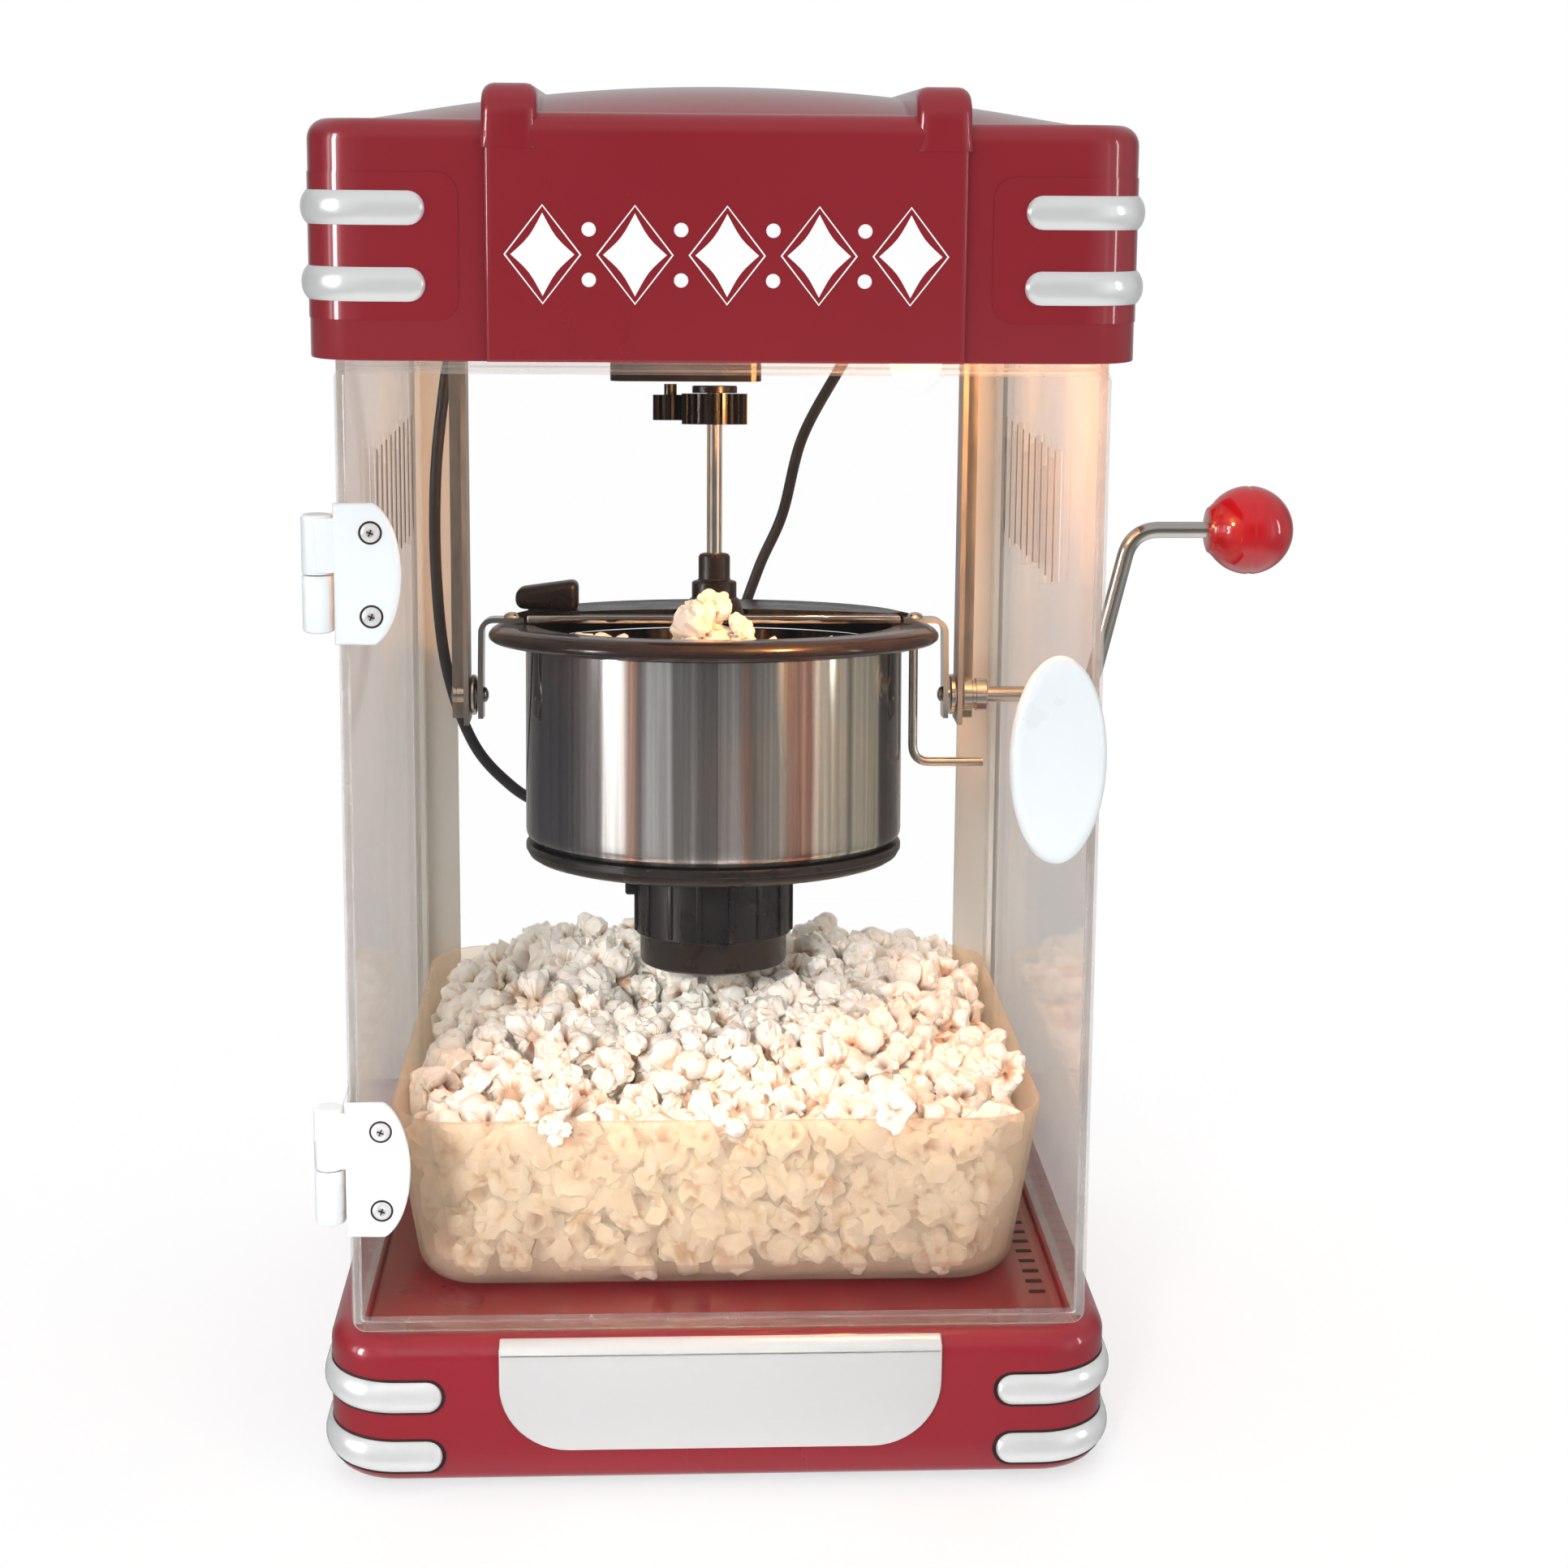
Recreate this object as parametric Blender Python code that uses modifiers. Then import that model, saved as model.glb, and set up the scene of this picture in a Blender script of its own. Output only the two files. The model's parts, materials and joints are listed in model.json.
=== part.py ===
"""Retro table-top popcorn maker: red cabinet, clear door, tilting kettle with a driven stirrer.

Cabinet frame: X to the right, Y to the back, Z up. X = 0, Y = 0 is the kettle's centre line.
All dimensions below are in millimetres; MM turns them into metres.
"""
import math

import bmesh
import bpy
from mathutils import Matrix, Vector

MM = 0.001
GAP = 0.3                     # clearance between touching pieces

# cabinet
CAB_HALF_W = 128.0            # outer faces of the windows and of the door
BASE_HALF_W = 137.0
BASE_FRONT = -161.5
BACK = 115.5                  # rear faces of base and header
BASE_TOP = 52.0
DECK_Z = 48.0
BASE_CORNER_R = 25.0
BASE_SHOULDER = 7.0
WALL = 3.0
FOOT_OUT = 2.5                # feet stand below the base skirt
HEADER_HALF_W = 136.0
HEADER_FRONT = -165.5
HEADER_BOTTOM = 390.0
HEADER_TOP = 467.0
HEADER_CORNER_R = 21.0
PANEL_HALF_W = 77.2           # raised centre panel of the header
PANEL_FRONT = -168.7
PANEL_BACK = -140.0
PANEL_TOP = 469.5
DOME_RISE = 15.0
DOME_CORNER = 0.08            # how far the dome's own corners pull in
RIB_TOP = 478.5
RIB_IN = 60.5
RIB_OUT = 78.5
CEILING_Z = 393.5
CEILING_T = 2.0
WINDOW_T = 3.0
WINDOW_FRONT = -146.5
VENT_COUNT = 9                # upright slits in each window
VENT_FIRST_Y = -52.0
VENT_PITCH = 17.0
VENT_W = 2.2
VENT_LOW = 300.0
VENT_HIGH = 350.0
BUSH_HOLE_R = 5.6
POST_W = 19.0
POST_BACK = 105.5
POST_T = 2.5

# corner trims
TRIM_H = 11.0
TRIM_T = 2.2
TRIM_FRONT_X = 96.5           # where each trim ends on the front
BASE_TRIM_Z = (10.2, 32.0)
HEADER_TRIM_Z = (414.5, 438.8)

# door
DOOR_FRONT = -156.2
DOOR_T = 2.6
DOOR_FLANGE = 6.5
DOOR_BOTTOM = 53.0
DOOR_TOP = 388.5
HINGE_X = -134.3
HINGE_Y = -153.0
KNUCKLE_R = 5.3
PIN_R = 2.4
HINGE_LEVELS = {"upper": (294.0, 344.7, 299.4, 318.6, 338.7), "lower": (87.5, 139.0, 93.1, 112.4, 134.3)}
LEAF_RIGHT = -106.5
LEAF_T = 2.0
SCREW_X = -116.3
HANDLE_X = 111.3
HANDLE_Z = 258.0
HANDLE_HALF_W = 16.4
HANDLE_HALF_H = 35.7
HANDLE_T = 13.0
HANDLE_NECK = (0.80, 0.88)    # the oval's back against its front

# kettle, measured up from its pivot and along its own centre line
PIVOT_Z = 247.0
LEAN = math.radians(-5.0)     # the kettle rests leaning back against the drive pinion
POT_R = 74.0
POT_WALL = 1.5
POT_BOTTOM = -57.0
POT_TOP = 20.2
RIM_R = 88.5
RIM_IN_R = 70.0
RIM_BOTTOM = 20.5
RIM_TOP = 28.3
RING_BOTTOM = -64.5
HEATER_R = 31.0
HEATER_BOTTOM = -107.0
HUB_TOP = 56.0
SHAFT_R = 3.0
GEAR_BOTTOM = 106.5
GEAR_TOP = 118.5
GEAR_TEETH = 24
PINION_TEETH = 12
GEAR_MODULE = 1.0
GEAR_DISTANCE = 18.7          # between the two gear centres
MESH_ANGLE = math.radians(157.5)
STRAP_X = 90.5
STRAP_T = 2.0
STRAP_HALF_Y = 6.0
LID_HINGE_Y = 8.0
LID_HINGE_Z = 31.5
LID_HOLE_R = 16.0
ROD_R = 3.2
KNOB_X = 210.8
KNOB_R = 17.5
CRANK_RISE = 66.0
HANGER_X = 96.0
HANGER_BOTTOM = 236.0

# tub
TUB_HALF_W = 119.0
TUB_FRONT = -121.0
TUB_BACK = 95.0
TUB_BOTTOM = 48.4
TUB_TOP = 116.0
TUB_WALL = 2.0
TUB_TAPER = 0.915

# under the header
LAMP_XY = (67.0, -110.0)
LAMP_HOLE_R = 10.5
LAMP_BOTTOM = 377.0
LEAD_R = 2.3
GEARBOX_BOTTOM = 371.5

# back of the header
SWITCH_X = -62.0
SWITCH_Z = 430.0
GLAND_X = 92.0
GLAND_Z = 412.0
GLAND_OUT = 9.0

# the assembly's box is centred on the world origin and stands on Z = 0
BOX_LEFT = HINGE_X - KNUCKLE_R
BOX_RIGHT = KNOB_X + KNOB_R
BOX_FRONT = DOOR_FRONT - GAP - HANDLE_T
BOX_BACK = BACK + GAP + GLAND_OUT

for old in list(bpy.data.objects):
    bpy.data.objects.remove(old, do_unlink=True)
PARTS = bpy.data.collections.new("popcorn_maker")
CUTTERS = bpy.data.collections.new("cutters")
bpy.context.scene.collection.children.link(PARTS)
bpy.context.scene.collection.children.link(CUTTERS)


def finish_material(name, colour, roughness, metallic=0.0, alpha=1.0):
    mat = bpy.data.materials.new(name)
    mat.use_nodes = True
    shader = mat.node_tree.nodes["Principled BSDF"]
    shader.inputs["Base Color"].default_value = (*colour, 1.0)
    shader.inputs["Roughness"].default_value = roughness
    shader.inputs["Metallic"].default_value = metallic
    shader.inputs["Alpha"].default_value = alpha
    mat.diffuse_color = (*colour, alpha)
    return mat


RED = finish_material("red_lacquer", (0.30, 0.017, 0.026), 0.2)
BALL_RED = finish_material("knob_red", (0.55, 0.01, 0.02), 0.15)
SILVER = finish_material("satin_silver", (0.60, 0.62, 0.61), 0.35, 0.8)
WHITE = finish_material("white_plastic", (0.9, 0.92, 0.92), 0.3)
BLACK = finish_material("black_plastic", (0.02, 0.018, 0.018), 0.4)
CLEAR = finish_material("clear_plastic", (0.9, 0.92, 0.92), 0.05, 0.0, 0.25)
FROSTED = finish_material("frosted_plastic", (0.85, 0.75, 0.66), 0.3, 0.0, 0.6)
STEEL = finish_material("polished_steel", (0.62, 0.60, 0.57), 0.12, 1.0)
GREY = finish_material("grey_steel", (0.42, 0.40, 0.37), 0.4, 0.8)
RUBBER = finish_material("rubber", (0.03, 0.03, 0.03), 0.8)
GLOW = finish_material("warm_bulb", (1.0, 0.75, 0.4), 0.1)


# ---------------------------------------------------------------- helpers

def empty(name, parent, location, lean=0.0):
    node = bpy.data.objects.new(name, None)
    PARTS.objects.link(node)
    node.parent = parent
    node.location = [c * MM for c in location]
    node.rotation_euler = (lean, 0.0, 0.0)
    return node


def keep(name, data, mat, parent, cutter=False):
    obj = bpy.data.objects.new(name, data)
    (CUTTERS if cutter else PARTS).objects.link(obj)
    obj.parent = parent
    if cutter:
        obj.hide_render = True
        obj.display_type = "WIRE"
    if mat and hasattr(data, "materials"):
        data.materials.append(mat)
    return obj


def from_bmesh(name, bm, mat, parent, cutter=False):
    bmesh.ops.scale(bm, vec=(MM, MM, MM), verts=bm.verts)
    bmesh.ops.recalc_face_normals(bm, faces=bm.faces)
    mesh = bpy.data.meshes.new(name)
    bm.to_mesh(mesh)
    bm.free()
    mesh.shade_smooth()
    mesh.set_sharp_from_angle(angle=math.radians(35))
    return keep(name, mesh, mat, parent, cutter)


def box_shape(x0, x1, y0, y1, z0, z1):
    bm = bmesh.new()
    bmesh.ops.create_cube(bm, size=1.0)
    bmesh.ops.scale(bm, vec=(x1 - x0, y1 - y0, z1 - z0), verts=bm.verts)
    bmesh.ops.translate(bm, vec=((x0 + x1) / 2, (y0 + y1) / 2, (z0 + z1) / 2), verts=bm.verts)
    return bm


def round_edges(bm, chosen, radius, segments):
    edges = [e for e in bm.edges if chosen(e)]
    bmesh.ops.bevel(bm, geom=edges, offset=radius, segments=segments, profile=0.5, affect="EDGES")


def is_upright(edge):
    a, b = (v.co for v in edge.verts)
    return abs(a.x - b.x) < 1e-4 and abs(a.y - b.y) < 1e-4


def at_height(z):
    return lambda edge: all(abs(v.co.z - z) < 1e-4 for v in edge.verts)


def rounded_box(x0, x1, y0, y1, z0, z1, corner=0.0, top=0.0, bottom=0.0, steps=6, edge_steps=3):
    bm = box_shape(x0, x1, y0, y1, z0, z1)
    if corner:
        round_edges(bm, is_upright, corner, steps)
    if top:
        round_edges(bm, at_height(z1), top, edge_steps)
    if bottom:
        round_edges(bm, at_height(z0), bottom, 2)
    return bm


def cylinder_shape(radius, centre, length, axis="Z", sides=24, radius2=None):
    """A cylinder or cone whose middle lies at centre."""
    bm = bmesh.new()
    far = radius if radius2 is None else radius2
    bmesh.ops.create_cone(bm, cap_ends=True, segments=sides, radius1=radius, radius2=far, depth=length)
    turn = {"X": Matrix.Rotation(math.pi / 2, 4, "Y"), "Y": Matrix.Rotation(-math.pi / 2, 4, "X")}
    if axis in turn:
        bmesh.ops.transform(bm, matrix=turn[axis], verts=bm.verts)
    bmesh.ops.translate(bm, vec=centre, verts=bm.verts)
    return bm


def boolean(obj, other, operation):
    mod = obj.modifiers.new(operation.lower(), "BOOLEAN")
    mod.operation = operation
    mod.solver = "EXACT"
    mod.object = other


def cut(obj, bm):
    boolean(obj, from_bmesh(obj.name + "_cut", bm, None, obj.parent, cutter=True), "DIFFERENCE")


def join(obj, bm):
    boolean(obj, from_bmesh(obj.name + "_add", bm, None, obj.parent, cutter=True), "UNION")


def turned(name, profile, mat, parent, axis="Z", centre=(0, 0, 0), steps=32, closed=False):
    """A turned piece. The profile is (radius, height), down the outer side from the top."""
    mesh = bpy.data.meshes.new(name)
    count = len(profile)
    edges = [(i, i + 1) for i in range(count - 1)]
    if closed:
        edges.append((count - 1, 0))
    mesh.from_pydata([(r * MM, 0.0, h * MM) for r, h in profile], edges, [])
    obj = keep(name, mesh, mat, parent)
    screw = obj.modifiers.new("turn", "SCREW")
    screw.axis = "Z"
    screw.steps = steps
    screw.render_steps = steps
    screw.use_merge_vertices = True
    screw.merge_threshold = 0.00001
    screw.use_smooth_shade = True
    if axis == "X":
        obj.rotation_euler = (0.0, math.pi / 2, 0.0)
    if axis == "Y":
        obj.rotation_euler = (-math.pi / 2, 0.0, 0.0)
    obj.location = [c * MM for c in centre]
    return obj


def arc(cx, cz, radius, start, end, steps):
    """Points of an arc in a plane, angles in degrees."""
    span = [math.radians(start + (end - start) * i / steps) for i in range(steps + 1)]
    return [(cx + radius * math.cos(a), cz + radius * math.sin(a)) for a in span]


def smooth_route(points, spacing):
    """Evenly spaced points on a Catmull-Rom curve through the route's own points."""
    pts = [Vector(p) for p in points]
    pts = [2 * pts[0] - pts[1]] + pts + [2 * pts[-1] - pts[-2]]
    fine = []
    for i in range(1, len(pts) - 2):
        a, b, c, d = pts[i - 1:i + 3]
        for k in range(24):
            t = k / 24
            fine.append(0.5 * (2 * b + (c - a) * t + (2 * a - 5 * b + 4 * c - d) * t * t
                               + (3 * b - a - 3 * c + d) * t ** 3))
    fine.append(pts[-2])
    total = sum((q - p).length for p, q in zip(fine, fine[1:]))
    count = max(2, round(total / spacing))
    even = [fine[0]]
    walked = 0.0
    for p, q in zip(fine, fine[1:]):
        step = (q - p).length
        while len(even) < count and walked + step >= total * len(even) / count:
            even.append(p.lerp(q, (total * len(even) / count - walked) / step))
        walked += step
    return even + [fine[-1]]


def bent_route(corners, radius, steps=4):
    """A polyline whose inner corners are rounded, for bent rod."""
    pts = [Vector(c) for c in corners]
    out = [pts[0]]
    for before, here, after in zip(pts, pts[1:], pts[2:]):
        start = here + (before - here).normalized() * radius
        end = here + (after - here).normalized() * radius
        for i in range(steps + 1):
            t = i / steps
            out.append((1 - t) ** 2 * start + 2 * t * (1 - t) * here + t * t * end)
    return out + [pts[-1]]


def tube(name, points, radius, mat, parent, resolution=2):
    curve = bpy.data.curves.new(name, "CURVE")
    curve.dimensions = "3D"
    curve.bevel_depth = radius * MM
    curve.bevel_resolution = resolution
    curve.use_fill_caps = True
    curve.render_resolution_u = 0
    spline = curve.splines.new("POLY")
    spline.points.add(len(points) - 1)
    for slot, point in zip(spline.points, points):
        slot.co = (*[c * MM for c in point], 1.0)
    return keep(name, curve, mat, parent)


def as_mesh(obj):
    """Turn a curve object into a closed mesh object, so that it can be cut or joined."""
    bpy.context.view_layer.update()
    graph = bpy.context.evaluated_depsgraph_get()
    mesh = bpy.data.meshes.new_from_object(obj.evaluated_get(graph))
    bm = bmesh.new()
    bm.from_mesh(mesh)
    bmesh.ops.remove_doubles(bm, verts=bm.verts, dist=0.00001)
    bmesh.ops.recalc_face_normals(bm, faces=bm.faces)
    bm.to_mesh(mesh)
    bm.free()
    name, parent, mat = obj.name, obj.parent, obj.data.materials[0]
    bpy.data.objects.remove(obj, do_unlink=True)
    mesh.materials.clear()
    return keep(name, mesh, mat, parent)


def plate(name, outline, thickness, mat, parent, location, facing="FRONT"):
    """A flat outline with thickness, standing in the XZ plane or lying in the XY plane."""
    curve = bpy.data.curves.new(name, "CURVE")
    curve.dimensions = "2D"
    curve.fill_mode = "BOTH"
    curve.extrude = thickness * MM / 2
    curve.render_resolution_u = 0
    spline = curve.splines.new("POLY")
    spline.points.add(len(outline) - 1)
    for slot, (u, v) in zip(spline.points, outline):
        slot.co = (u * MM, v * MM, 0.0, 1.0)
    spline.use_cyclic_u = True
    obj = keep(name, curve, mat, parent)
    if facing == "FRONT":
        obj.rotation_euler = (math.pi / 2, 0.0, 0.0)
    obj.location = [c * MM for c in location]
    return as_placed_mesh(obj)


def as_placed_mesh(obj):
    place, turn = obj.location.copy(), obj.rotation_euler.copy()
    done = as_mesh(obj)
    done.location = place
    done.rotation_euler = turn
    return done


# ---------------------------------------------------------------- base and header

def corner_trim(name, side, z, half_w, front, corner, parent):
    """A satin band bent round a front corner, with half-round ends."""
    out = GAP
    run_front = half_w - corner - TRIM_FRONT_X
    bend = (corner + out) * math.pi / 2
    total = 2 * run_front + bend
    radius = TRIM_H / 2

    def place(s):
        if s < run_front:
            return TRIM_FRONT_X + s, front - out
        if s < run_front + bend:
            a = (s - run_front) / (corner + out)
            reach = corner + out
            return half_w - corner + reach * math.sin(a), front + corner - reach * math.cos(a)
        return half_w + out, front + corner + (s - run_front - bend)

    ends = [radius * (1 - math.cos(math.radians(a))) for a in (0, 22.5, 45, 67.5, 90)]
    bends = [run_front + bend * i / 8 for i in range(9)]
    stations = sorted(set(ends + bends + [total - e for e in ends]))
    bm = bmesh.new()
    rows = []
    for s in stations:
        near = min(s, total - s)
        half = radius if near >= radius else math.sqrt(max(0.0, radius ** 2 - (radius - near) ** 2))
        x, y = place(s)
        if half < 1e-6:
            rows.append([bm.verts.new((side * x, y, z))])
        else:
            rows.append([bm.verts.new((side * x, y, z - half)), bm.verts.new((side * x, y, z + half))])
    for a, b in zip(rows, rows[1:]):
        bm.faces.new(a + b[::-1])
    obj = from_bmesh(name, bm, SILVER, parent)
    outward = obj.data.polygons[len(stations) // 2].normal.x * side > 0
    solid = obj.modifiers.new("thickness", "SOLIDIFY")
    solid.thickness = TRIM_T * MM
    solid.offset = 1.0 if outward else -1.0
    return obj


def trims(prefix, levels, half_w, front, corner, parent):
    for side, side_name in ((-1, "left"), (1, "right")):
        for z, level in zip(levels, ("lower", "upper")):
            corner_trim(f"{prefix}_trim_{side_name}_{level}", side, z, half_w, front, corner, parent)


def base(parent):
    shell = from_bmesh("base_shell", rounded_box(
        -BASE_HALF_W, BASE_HALF_W, BASE_FRONT, BACK, 0, BASE_TOP,
        BASE_CORNER_R, BASE_SHOULDER, 2.0), RED, parent)
    inner = BASE_HALF_W - WALL
    cut(shell, rounded_box(-inner, inner, BASE_FRONT + WALL, BACK - WALL, -5, DECK_Z - WALL,
                           BASE_CORNER_R - WALL, 4.0))
    cut(shell, rounded_box(-123.5, 123.5, -145, 100, DECK_Z, BASE_TOP + 5, 8.0))
    for i in range(12):
        y = -118 + 9 * i
        cut(shell, box_shape(113.5, 119.5, y, y + 2.4, DECK_Z - 8, DECK_Z + 2))
    inner -= 0.4
    from_bmesh("bottom_plate", rounded_box(
        -inner, inner, BASE_FRONT + WALL + 0.4, BACK - WALL - 0.4, 0.6, 2.6,
        BASE_CORNER_R - WALL), BLACK, parent)
    for x, side in ((-108, "left"), (108, "right")):
        for y, end in ((-135, "front"), (86, "rear")):
            profile = [(0, 0.3), (9, 0.3), (9, -1.5), (8, -FOOT_OUT), (0, -FOOT_OUT)]
            turned(f"foot_{end}_{side}", profile, RUBBER, parent, centre=(x, y, 0), steps=24)
    trims("base", BASE_TRIM_Z, BASE_HALF_W, BASE_FRONT, BASE_CORNER_R, parent)


def nameplate(parent):
    half, low, high, corner = 76.8, 12.3, 51.8, 24.0
    outline = [(-half, high)]
    outline += [(x, z) for x, z in arc(-half + corner, low + corner, corner, 180, 270, 8)]
    outline += [(x, z) for x, z in arc(half - corner, low + corner, corner, 270, 360, 8)]
    outline += [(half, high)]
    plate("nameplate", outline, 1.6, SILVER, parent, (0, BASE_FRONT - GAP - 0.8, 0))


def dome_shape(half_w, front, back, low, drop):
    """A pillow-shaped roof: a grid raised towards its middle, on a flat underside."""
    middle = (front + back) / 2
    half_d = (back - front) / 2
    bm = bmesh.new()
    bmesh.ops.create_grid(bm, x_segments=12, y_segments=10, size=1.0)
    grid = list(bm.faces)
    for v in bm.verts:
        u, w = v.co.x, v.co.y
        crown = (1 - u * u) * (4.0 + (DOME_RISE - 4.0) * (1 - w * w))
        x = u * half_w * math.sqrt(1 - DOME_CORNER * w * w)
        y = middle + w * half_d * math.sqrt(1 - DOME_CORNER * u * u)
        v.co = (x, y, HEADER_TOP - 1.0 - drop + crown)
    sides = bmesh.ops.extrude_face_region(bm, geom=grid)
    for item in sides["geom"]:
        if isinstance(item, bmesh.types.BMVert):
            item.co.z = low
    return bm


def header(parent):
    shell = from_bmesh("header_shell", rounded_box(
        -HEADER_HALF_W, HEADER_HALF_W, HEADER_FRONT, BACK, HEADER_BOTTOM, HEADER_TOP,
        HEADER_CORNER_R, 6.0), RED, parent)
    join(shell, rounded_box(-PANEL_HALF_W, PANEL_HALF_W, PANEL_FRONT, PANEL_BACK,
                            HEADER_BOTTOM, PANEL_TOP, 0, 6.0))
    join(shell, dome_shape(131.0, HEADER_FRONT + 5, BACK - 5, HEADER_TOP - 5, 0))
    for side in (-1, 1):
        low, high = sorted((side * RIB_IN, side * RIB_OUT))
        join(shell, rounded_box(low, high, PANEL_FRONT - 0.1, BACK - 4.1, 461.3, RIB_TOP, 0, 4.5))
    inner = HEADER_HALF_W - WALL
    cut(shell, rounded_box(-inner, inner, HEADER_FRONT + WALL, BACK - WALL,
                           HEADER_BOTTOM - 5, HEADER_TOP - WALL, HEADER_CORNER_R - WALL, 5.0))
    cut(shell, dome_shape(122.0, HEADER_FRONT + 14, BACK - 14, HEADER_TOP - 12, 3.5))
    cut(shell, box_shape(SWITCH_X - 11, SWITCH_X + 11, BACK - 8, BACK + 4, SWITCH_Z - 8, SWITCH_Z + 8))
    ceiling = from_bmesh("ceiling_plate", rounded_box(
        -inner + 0.4, inner - 0.4, HEADER_FRONT + WALL + 0.4, BACK - WALL - 0.4,
        CEILING_Z, CEILING_Z + CEILING_T, HEADER_CORNER_R - WALL), GREY, parent)
    cut(ceiling, cylinder_shape(LAMP_HOLE_R, (*LAMP_XY, CEILING_Z), 12))
    trims("header", HEADER_TRIM_Z, HEADER_HALF_W, HEADER_FRONT, HEADER_CORNER_R, parent)


def rear_of_header(parent, switch_axis):
    bm = rounded_box(-10, 10, -7, 1.5, -7, 7)
    raised = [v for v in bm.verts if v.co.y > 0 and v.co.z > 0]
    for v in raised:
        v.co.y += 2.5
    from_bmesh("power_switch", bm, BLACK, switch_axis)
    profile = [(0, GLAND_OUT), (4.0, GLAND_OUT), (5.0, 3.0), (8.0, 2.5), (8.0, 0.0), (0, 0.0)]
    turned("cord_gland", profile, BLACK, parent, "Y", (GLAND_X, BACK + GAP, GLAND_Z), 20)


def frame_posts(parent):
    z0, z1 = BASE_TOP + GAP, CEILING_Z - GAP
    for side, name in ((-1, "left"), (1, "right")):
        low, high = sorted((side * (CAB_HALF_W - POST_W), side * (CAB_HALF_W - 0.1)))
        post = from_bmesh(f"rear_post_{name}", box_shape(
            low, high, POST_BACK - POST_T, POST_BACK, z0, z1), GREY, parent)
        edge = CAB_HALF_W - WINDOW_T - 0.5
        low, high = sorted((side * (edge - 2.0), side * edge))
        join(post, box_shape(low, high, POST_BACK - 14, POST_BACK - 0.8, z0, z1))
        low, high = sorted((side * (CAB_HALF_W - WINDOW_T), side * CAB_HALF_W))
        window = from_bmesh(f"side_window_{name}", box_shape(
            low, high, WINDOW_FRONT, POST_BACK - POST_T - 0.4, z0, z1), CLEAR, parent)
        for i in range(VENT_COUNT):
            y = VENT_FIRST_Y + VENT_PITCH * i
            shift = i % 3
            cut(window, box_shape(
                low - 5, high + 5, y, y + VENT_W, VENT_LOW - 3 * shift, VENT_HIGH - 5 * shift))
        if side > 0:
            cut(window, cylinder_shape(BUSH_HOLE_R, (CAB_HALF_W - 1, 0, PIVOT_Z), 20, "X", 20))


# ---------------------------------------------------------------- door

def hinge(level, door_axis, parent):
    leaf_low, leaf_high, low, split, high = HINGE_LEVELS[level]
    middle = (leaf_low + leaf_high) / 2
    half = (leaf_high - leaf_low) / 2
    left = HINGE_X + KNUCKLE_R + 0.5
    outline = [(left - HINGE_X, leaf_high - 1), (left - HINGE_X, leaf_low + 1)]
    width = LEAF_RIGHT - left
    for a in range(-75, 76, 15):
        t = math.radians(a)
        outline.append((left - HINGE_X + width * (0.45 + 0.55 * math.cos(t)), middle + half * math.sin(t)))
    leaf = plate(f"door_hinge_leaf_{level}", outline, LEAF_T, WHITE, door_axis,
                 (0, DOOR_FRONT - GAP - LEAF_T / 2 - HINGE_Y, 0))
    knuckle = cylinder_shape(KNUCKLE_R, (0, 0, (split + high) / 2 + GAP), high - split, sides=24)
    join(leaf, knuckle)
    arm = box_shape(-0.5, left - HINGE_X + 3, DOOR_FRONT - GAP - LEAF_T - HINGE_Y, DOOR_FRONT - GAP - HINGE_Y,
                    split + 1, high - 0.5)
    join(leaf, arm)
    bore = cylinder_shape(PIN_R + 0.3, (0, 0, (split + high) / 2 - 2), high - split, sides=16)
    cut(leaf, bore)
    for z, end in ((middle + half * 0.55, "top"), (middle - half * 0.55, "bottom")):
        profile = [(0, 1.3), (2.0, 1.2), (3.3, 0.6), (3.3, 0.0), (0, 0.0)]
        screw = turned(f"hinge_screw_{level}_{end}", profile, SILVER, door_axis, "Y", steps=16)
        screw.rotation_euler = (math.pi / 2, 0.0, 0.0)
        screw.location = [c * MM for c in (SCREW_X - HINGE_X, DOOR_FRONT - 2 * GAP - LEAF_T - HINGE_Y, z)]
    wall = -CAB_HALF_W - GAP
    fixed = from_bmesh(f"fixed_hinge_leaf_{level}", box_shape(
        wall - LEAF_T, wall, -149, -124, leaf_low + 6, leaf_high - 6), WHITE, parent)
    join(fixed, cylinder_shape(KNUCKLE_R, (HINGE_X, HINGE_Y, (low + split) / 2), split - low, sides=24))
    join(fixed, cylinder_shape(PIN_R, (HINGE_X, HINGE_Y, split + 5), 14, sides=16))
    join(fixed, box_shape(wall - 4, wall, HINGE_Y, -147, low + 0.5, split - 0.5))


def door(door_axis, parent):
    dx, dy = -HINGE_X, -HINGE_Y
    edge = CAB_HALF_W - 0.3
    front = DOOR_FRONT + dy
    panel = from_bmesh("door_panel", box_shape(
        -edge + dx, edge + dx, front, front + DOOR_T + DOOR_FLANGE, DOOR_BOTTOM, DOOR_TOP), CLEAR, door_axis)
    lip = DOOR_T - 0.3
    cut(panel, box_shape(-edge + lip + dx, edge - lip + dx, front + DOOR_T, front + 30,
                         DOOR_BOTTOM + lip, DOOR_TOP - lip))
    bm = cylinder_shape(1.0, (0, 0, 0), HANDLE_T, "Y", 40)
    bmesh.ops.scale(bm, vec=(HANDLE_HALF_W, 1.0, HANDLE_HALF_H), verts=bm.verts)
    for v in bm.verts:
        if v.co.y > 0:
            v.co.x *= HANDLE_NECK[0]
            v.co.z *= HANDLE_NECK[1]
    bmesh.ops.translate(bm, vec=(HANDLE_X + dx, front - GAP - HANDLE_T / 2, HANDLE_Z), verts=bm.verts)
    from_bmesh("door_handle", bm, WHITE, door_axis)
    for level in HINGE_LEVELS:
        hinge(level, door_axis, parent)


# ---------------------------------------------------------------- kettle

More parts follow.
